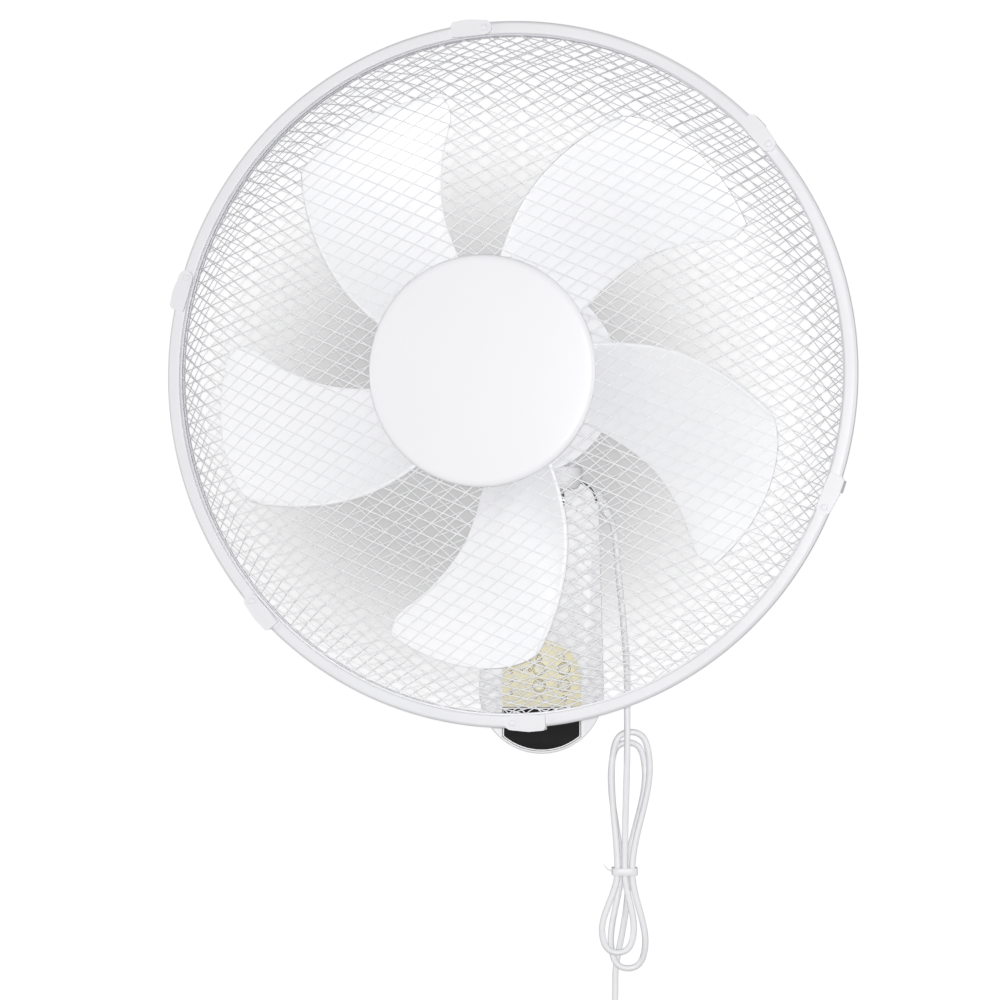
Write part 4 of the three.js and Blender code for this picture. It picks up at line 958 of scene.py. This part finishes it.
def makeImpeller():
    s = impellerSettings
    points, faces = bladeShape()
    mesh = bpy.data.meshes.new("blade")
    turn = Matrix.Rotation(math.radians(s["firstAngle"]), 4, "Y")
    mesh.from_pydata([tuple((turn @ p) * mm) for p in points], [], faces)
    blade = linked(bpy.data.objects.new("blade", mesh))
    wall = blade.modifiers.new("wall", "SOLIDIFY")
    wall.thickness = s["thickness"] * mm
    wall.offset = 0
    bevelled(blade, 0.7, 3, 60)
    grown(blade, copyTree(), {
        "Count": s["blades"], "Step Angle": 2 * math.pi / s["blades"], "Finish": finishes["blade"]})
    blade.data.transform(Matrix.Translation(headPlace.translation * mm) @ headPlace.to_3x3().to_4x4())
    front, back, radius, bore = s["hubFront"], s["hubBack"], s["hubRadius"], s["bore"]
    sleeve, inside = bore + s["boreWall"], radius - 2.4
    hub = hoopPiece([
        (bore, front), (radius - 12, front), (radius - 3, front - 3), (radius, front - 10), (radius, back),
        (inside, back), (inside, front - 11), (radius - 5, front - 5.6), (radius - 12, front - 3),
        (sleeve, front - 3), (sleeve, back + 8), (bore, back + 8)], 96)
    dress(joined("impellerBlades", [blade, hub]), "blade", ("impeller",), 38)
    nut = [(0, 54), (12, 53.4), (16, 50), (17, 45), (17, 40.3), (bore, 40.3), (bore, 51), (0, 51)]
    turnedPiece("bladeNut", nut, "blade", "blade_nut", 1.2, 64)


makeImpeller()
print("impeller made")

motorSettings = {
    "cover": 46,
    "coverFront": -62,
    "coverRear": -150,
    "wall": 2.2,
    "boss": 16,
    "bearing": 9.3,
    "shaftHole": 5.5,
    "nutRadius": 30,
}


def makeMotor():
    s = motorSettings
    r, front, rear, wall = s["cover"], s["coverFront"], s["coverRear"], s["wall"]
    boss, bearing, hole = s["boss"], s["bearing"], s["shaftHole"]
    cover = [
        (r, front), (r, rear + 34), (r - 0.8, rear + 24), (r - 3, rear + 17), (r - 7, rear + 9.6),
        (r - 12, rear + 5), (r - 19, rear + 2), (r - 26, rear + 0.6), (r - 36, rear + 0.1), (0, rear),
        (0, rear + 4), (bearing, rear + 4), (bearing, rear + 12), (bearing + 3, rear + 12),
        (bearing + 3, rear + 2.8), (r - 14, rear + 7.2), (r - 5.2, rear + 18), (r - wall, rear + 34),
        (r - wall, front)]
    turnedPiece("motorCover", cover, "motor", "motor_rear_cover", 0.8, 128)
    face = front + 6
    plate = [
        (hole, face + 14), (boss, face + 14), (boss, face), (r - 3, face), (r, face - 3), (r, front + 0.3),
        (r - 2.5, front + 0.3), (r - 2.5, front - 3), (r - 4.6, front - 3), (r - 4.6, front + 2.6),
        (13, front + 2.6), (13, front - 5), (bearing, front - 5), (bearing, front + 2.4),
        (hole, front + 2.4)]
    turnedPiece("motorFrontPlate", plate, "zinc", "motor_front_plate", 0.7, 96)
    inner, outer = boss + 0.3, s["nutRadius"]
    nut = [(inner, face + 2.2), (outer, face + 2.2), (outer, face + 6), (outer - 3, face + 9),
           (inner, face + 9)]
    turnedPiece("guardNut", nut, "motor", "guard_nut", 1, 72)


makeMotor()
fineCopy("gear_case", "motor", 0.6, 2, 40)
fineCopy("neck_bracket", "shell", 0.8, 3, 40)
fineCopy("tilt_pin", "steel", 0.4)
fineCopy("tilt_nut", "steel", 0.5)
fineCopy("wall_plate", "zinc", 0.25)
print("motor and neck made")

bodySettings = {
    "top": 92,
    "bottom": -92,
    "lowRadius": 41.8,
    "topHalfWidth": 38.5,
    "shoulder": 16,
    "depth": 72,
    "split": 34,  # depth at which the two shells meet
    "backGap": 0.6,
    "wall": 2.2,
    "slotHalf": 15.2,  # slot in the top that the neck stands in
    "slotFloor": 65,
    "edgeDepth": 2.2,  # rounding along the front
    "edgeInset": 0.9,
    "fine": 3,
}
panelSettings = {
    "halfWidth": 26.3,
    "archHeight": -42,
    "split": -60.6,  # height at which the label and the window meet
    "splitGap": 0.15,
    "windowRadius": 40,
    "thickness": 1,
    "proud": 0.3,
}
keySettings = {
    "names": ("power", "speed", "timer", "swing"),
    "first": (15, -35),
    "across": 16.8,
    "down": 11.3,
    "radius": 3.2,
    "proud": 0.7,
    "flangeDepth": 2.9,  # below the shell's front
    "flange": 1.2,
    "stem": 1.4,
    "stemEnd": 64.9,
}
lowMiddle = bodySettings["bottom"] + bodySettings["lowRadius"]
panelFront = bodySettings["depth"] + panelSettings["proud"]
panelBack = panelFront - panelSettings["thickness"]
firstX, firstZ = keySettings["first"]
keyPlaces = {
    name: (firstX - keySettings["across"] * (i % 2), firstZ - keySettings["down"] * (i // 2))
    for i, name in enumerate(keySettings["names"])
}


def raised(outline, depth):
    # an outline in X and Z at a depth in front of the wall
    return [Vector((x, -depth, z)) for x, z in outline]


def bodyRing(inset, depth):
    # the body's outline, from its left side round below and back over the top
    s = bodySettings
    low, half, corner, top = (s[key] - inset for key in ("lowRadius", "topHalfWidth", "shoulder", "top"))
    ring = [(low * c, lowMiddle + low * n) for c, n in sweep(math.pi, 2 * math.pi, 16 * s["fine"])]
    quarter = sweep(0, math.pi / 2, 4 * s["fine"])
    for side, turns in ((1, quarter), (-1, reversed(quarter))):
        ring += [(side * (half - corner + corner * c), top - corner + corner * n) for c, n in turns]
    return raised(ring, depth)


def archOutline(inset=0, steps=40):
    s = panelSettings
    half, low = s["halfWidth"] - inset, s["split"] + s["splitGap"] + inset
    arch = [(half * c, s["archHeight"] + half * n) for c, n in sweep(math.pi, 0, steps)]
    return [(half, low), (-half, low), *arch]


def windowOutline(inset=0, steps=32):
    s = panelSettings
    half, radius = s["halfWidth"] - inset, s["windowRadius"] - inset
    high, corner = s["split"] - s["splitGap"] - inset, math.acos(half / radius)
    bow = [(radius * c, lowMiddle + radius * n) for c, n in sweep(-corner, corner - math.pi, steps)]
    return [*bow, (-half, high), (half, high)]


def arcLine(x, z, radius, start=0, end=360, steps=28):
    turns = sweep(math.radians(start), math.radians(end), steps)
    return [(x + radius * c, z + radius * n) for c, n in turns[:steps if end - start == 360 else None]]


def boxLine(x0, x1, z0, z1):
    return [(x0, z0), (x1, z0), (x1, z1), (x0, z1)]


def slab(outline, rounding=0.25):
    # an outline in X and Z as thick as the panel, its front edge eased
    middle = Vector((sum(p[0] for p in outline), sum(p[1] for p in outline))) / len(outline)

    def ring(inset, depth):
        result = []
        for x, z in outline:
            away = (Vector((x, z)) - middle).normalized() * inset
            result.append(Vector((x - away.x, -depth, z - away.y)))
        return result

    eased = panelFront - rounding * 0.3
    return loftShape([ring(0, panelBack), ring(0, panelFront - rounding), ring(rounding * 0.3, eased),
                      ring(rounding, panelFront)])


def hollow(back, front):
    # the inside of the body between two depths
    wall = bodySettings["wall"]
    return meshPiece("cutter", loftShape([bodyRing(wall, back), bodyRing(wall, front)]))


def cutter(outline, back, front):
    # a block between two depths
    return meshPiece("cutter", loftShape([raised(outline, back), raised(outline, front)]))


def keyHoles(room, back, front):
    radius = keySettings["radius"] + room
    return [cutter(arcLine(x, z, radius, steps=40), back, front) for x, z in keyPlaces.values()]


def holed(piece, cutters):
    for item in cutters:
        hole = piece.modifiers.new("hole", "BOOLEAN")
        hole.object = linked(item)
        hole.solver = "EXACT"
    settled(piece)
    for item in cutters:
        bpy.data.objects.remove(item)
    return piece


def makeFrontShell():
    s = bodySettings
    start, front, edgeFrom = s["split"] + 0.3, s["depth"], s["depth"] - s["edgeDepth"]
    rings = [bodyRing(0.25, start), bodyRing(0, start + 0.25), bodyRing(0, edgeFrom)]
    for c, n in sweep(0, math.pi / 2, 6)[1:]:
        rings.append(bodyRing(s["edgeInset"] * (1 - c), edgeFrom + s["edgeDepth"] * n))
    shell = pieceFrom("frontShell", loftShape(rings), "shell", ("base_front_shell",), crease=30)
    cutters = [hollow(start - 1, front - 2.6)]
    for outline in (archOutline, windowOutline):
        cutters.append(cutter(outline(-0.3), panelBack - 0.3, front + 1))
    slot = boxLine(-s["slotHalf"], s["slotHalf"], s["slotFloor"], s["top"] + 1)
    cutters += [cutter(slot, front + 1, start - 1), *keyHoles(0.5, front - 3.6, front + 1)]
    bevelled(holed(shell, cutters), 0.3, 2, 50)


def makeRearShell():
    s = bodySettings
    gap, split, floor = s["backGap"], s["split"], s["backGap"] + s["wall"]
    levels = ((0.8, gap), (0.25, gap + 0.2), (0, gap + 0.9), (0, split - 0.25), (0.25, split))
    rings = [bodyRing(inset, depth) for inset, depth in levels]
    shell = pieceFrom("rearShell", loftShape(rings), "shell", ("base_rear_shell",), crease=30)
    inside = floor + s["wall"]
    cutters = [hollow(inside, split + 1), hollow(-1, floor)]
    for side in (-1, 1):  # where the wall plate's hooks come in
        cutters.append(cutter(boxLine(side * 18 - 7, side * 18 + 7, 21, 32), inside + 1, -1))
    for side in (-1, 1):  # screw holes
        cutters.append(cutter(arcLine(side * 31, -25, 3.5, steps=40), -1, floor + 3.4))
    bevelled(holed(shell, cutters), 0.3, 2, 50)


shoulderShadowSettings = {
    "inset": 1.1,
    "width": 1.5,
    "proud": 0.15,
    "lowest": 73,
}


def makeShoulderShadowStrips():
    # black strips along the front shell's shoulders, on both sides of the neck: painted shade for the
    # shadowed gap between the body and the neck
    s, depth, clear = shoulderShadowSettings, bodySettings["depth"], bodySettings["slotHalf"] + 1
    near, far, low, high = s["inset"], s["inset"] + s["width"], depth - 0.2, depth + s["proud"]
    corners = [bodyRing(near, low), bodyRing(near, high), bodyRing(far, high), bodyRing(far, low)]
    for side, name in ((-1, "Left"), (1, "Right")):
        spots = [i for i, p in enumerate(corners[0]) if p.z > s["lowest"] and side * p.x > clear]
        spots.sort(key=lambda i: side * corners[0][i].x)
        shape = loftShape([[ring[i] for ring in corners] for i in spots])
        # painted shade, made of black plastic
        pieceFrom(f"shoulderShadowStrip{name}", shape, "black", slotName=slotOf["receiver_window"])


def makePanel():
    label = pieceFrom("controlLabel", slab(archOutline()), "beige", ("control_label",))
    holed(label, keyHoles(0.3, panelBack - 1, panelFront + 1))
    pieceFrom("receiverWindow", slab(windowOutline()), "window", ("receiver_window",))


def makeKey(name, x, z):
    s = keySettings
    front, flange, radius = panelFront + s["proud"], bodySettings["depth"] - s["flangeDepth"], s["radius"]
    wide, low = radius + s["flange"], flange - s["flange"]
    profile = [
        (0, front - 0.25), (radius * 0.45, front - 0.2), (radius * 0.72, front - 0.02),
        (radius - 0.5, front), (radius - 0.12, front - 0.2), (radius, front - 0.6), (radius, flange),
        (wide, flange), (wide, low), (s["stem"], low), (s["stem"], s["stemEnd"]), (0, s["stemEnd"])]
    shape = pillar(softened(profile, 0.15, 2), 40)
    place = Matrix.Translation((x, 0, z)) @ Matrix.Rotation(math.radians(90), 4, "X")
    pieceFrom(f"key{name.capitalize()}", shape, "key", (f"key_{name}",), place)


markSettings = {
    "line": 0.45,
    "keyLine": 0.4,
    "border": 0.7,
    "sunk": 0.05,
    "proud": 0.04,
}


def strip(line, width, closed=False):
    # a flat printed line just in front of the panel
    low, high = panelFront - markSettings["sunk"], panelFront + markSettings["proud"]
    around = [line[-1], *line, line[0]] if closed else [line[0], *line, line[-1]]
    rings = []
    for before, (x, z), after in zip(around, line, around[2:]):
        along = (Vector(after) - Vector(before)).normalized()
        away = Vector((-along.y, along.x)) * width / 2
        rings.append([Vector((x + side * away.x, -depth, z + side * away.y))
                      for side, depth in ((1, low), (1, high), (-1, high), (-1, low))])
    return loftShape([*rings, rings[0]], closedEnds=False) if closed else loftShape(rings)


def makeMarks():
    power, speed, timer, swing = (x for x, z in keyPlaces.values())
    x, z = power - 1.5, -27.7  # mains sign
    marks = [arcLine(x, z, 1.7, 120, 420), [(x, z + 0.4), (x, z + 2.3)]]
    for turn in (90, 210, 330):  # three little blades
        c, n = math.cos(math.radians(turn)), math.sin(math.radians(turn))
        marks.append(arcLine(speed - 0.1 + 1.1 * c, z + 1.1 * n, 1, turn - 90, turn + 150, 12))
    z = -54.8  # clock
    marks += [arcLine(timer, z, 1.9), [(timer, z + 1.2), (timer, z), (timer + 0.9, z)]]
    marks.append(arcLine(swing, z - 1, 2.6, 30, 150, 12))  # to and fro
    for side in (-1, 1):
        marks.append([(swing + side * x, z + rise) for x, rise in ((2.9, 0.1), (2.1, 0.5), (1.6, -0.3))])
    for i, z in enumerate((-23.1, -29, -35.8)):  # speed lamps
        marks.append(arcLine(-7.9, z, 0.9))
        marks += [[(-11.4 - 1.5 * k, z - 1), (-11.4 - 1.5 * k, z + 1)] for k in range(i + 1)]
    for z in (-37.2, -43.8, -51.2):  # timer lamps
        marks.append(arcLine(-20.4, z, 0.9))
    rings = [arcLine(x, z, keySettings["radius"] + 1) for x, z in keyPlaces.values()]
    shapes = [strip(ring, markSettings["keyLine"], True) for ring in rings]
    shapes += [strip(line, markSettings["line"], closed=len(line) == len(rings[0])) for line in marks]
    pieceFrom("panelMarks", gathered(shapes), "ink", slotName="beige_panel")
    border = strip(windowOutline(markSettings["border"]), markSettings["border"], True)
    pieceFrom("windowBorder", border, "outline", slotName="white_plastic")


makeFrontShell()
makeShoulderShadowStrips()
makeRearShell()
makePanel()
for name, (x, z) in keyPlaces.items():
    makeKey(name, x, z)
makeMarks()
print("control body made")

carried = {  # solids that keep their own mesh
    "steel": ("base_screw_left", "base_screw_right", "pan_pin", "bearing_front", "bearing_rear",
              "motor_shaft"),
    "black": ("switch_power", "switch_speed", "switch_timer", "switch_swing", "receiver_eye",
              "run_capacitor"),
    "winding": ("motor_stator",),
    "zinc": ("motor_rotor",),
    "board": ("control_board",),
}
for finish, nodes in carried.items():
    for node in nodes:
        solid = frame["nodes"][node]
        if not solid.material_slots:
            solid.data.materials.append(finishes[finish])
        for entry in solid.material_slots:
            entry.link = "OBJECT"
            entry.material = finishes[finish]
print("solids painted")

studioSettings = {  # the pale wall that the fan hangs on with a painted shadow behind the motor, white surroundings and soft lamps
    "wallHalf": (1.6, 1.6),
    "wallDepth": 0.0005,  # just behind the fan's back
    "wallWhite": 0.3,
    "wallGlow": 0.76,
    "paintedShadowMiddle": (-0.042, 0.13),  # middle of the painted shadow behind the motor, across and up
    "paintedShadowFade": (0.08, 0.22),  # where it starts to fade and where it has gone
    # how much of the wall's glow is left in the middle of the painted shadow
    "paintedShadowGlow": 0.42,
    "ambient": 0.32,
    "lamps": (  # place, aim, size, power
        ((-0.028, -2.24, 0.08), (-0.028, 0, 0.08), 0.03, 25.6),
        ((2.4, -0.5, 0.2), (0, -0.2, 0.1), 0.5, 10),
        ((-2.4, -0.5, 0.2), (0, -0.2, 0.1), 0.5, 10),
    ),
}


def makeWall():
    s = studioSettings
    (halfX, halfZ), depth, white = s["wallHalf"], s["wallDepth"], s["wallWhite"]
    mesh = bpy.data.meshes.new("studioWall")
    corners = boxLine(-halfX, halfX, -halfZ, halfZ)
    mesh.from_pydata([(x, depth, z) for x, z in corners], [], [(0, 1, 2, 3)])
    finish = Finish("paleWall", 0.9)
    dull = (white - 0.02, white - 0.02, white - 0.015)
    finish.wear("Base Color", finish.blend(finish.noise(60, 3), (white, white, white), dull))
    # painted shadow: the wall's glow is dimmed around a point behind the motor
    away = finish.vector("DISTANCE", finish.place, (s["paintedShadowMiddle"][0], depth, s["paintedShadowMiddle"][1]), "Value")
    seen = finish.node("ShaderNodeLightPath", output="Is Camera Ray")
    glow = seen * s["wallGlow"] * finish.ramp(away, *s["paintedShadowFade"], s["paintedShadowGlow"], 1.0)
    finish.wear("Emission Color", finish.node("ShaderNodeCombineColor", None, {0: glow, 1: glow, 2: glow}))
    finish.wear("Emission Strength", 1)
    behind = finish.node("ShaderNodeNewGeometry", output="Backfacing")
    finish.wear("Alpha", 1 - behind)  # from behind, the wall doesn't hide the fan
    mesh.materials.append(finish.material)
    linked(bpy.data.objects.new("studioWall", mesh))


def makeLamps():
    for number, (place, aim, size, power) in enumerate(studioSettings["lamps"], 1):
        data = bpy.data.lights.new(f"softLamp{number}", "AREA")
        data.shape = "DISK"
        data.size = size
        data.energy = power
        lamp = linked(bpy.data.objects.new(f"softLamp{number}", data))
        lamp.location = place
        lamp.rotation_euler = (Vector(aim) - Vector(place)).to_track_quat("-Z", "Y").to_euler()


def makeSky():
    # white where it is seen or mirrored, dimmer where it lights
    ambient = studioSettings["ambient"]
    world = bpy.data.worlds.new("studioWorld")
    world.use_nodes = True
    scene.world = world
    tree = world.node_tree
    rays, sky = tree.nodes.new("ShaderNodeLightPath"), tree.nodes["Background"]
    seen = Signal(tree, rays.outputs["Is Camera Ray"])
    for kind in ("Is Glossy Ray", "Is Transmission Ray"):
        seen = seen.math("MAXIMUM", Signal(tree, rays.outputs[kind]))
    feed(tree, seen * (1 - ambient) + ambient, sky.inputs["Strength"])
    sky.inputs["Color"].default_value = (1, 1, 1, 1)


makeWall()
makeLamps()
makeSky()
scene.view_settings.view_transform = "Standard"
print("studio lit")
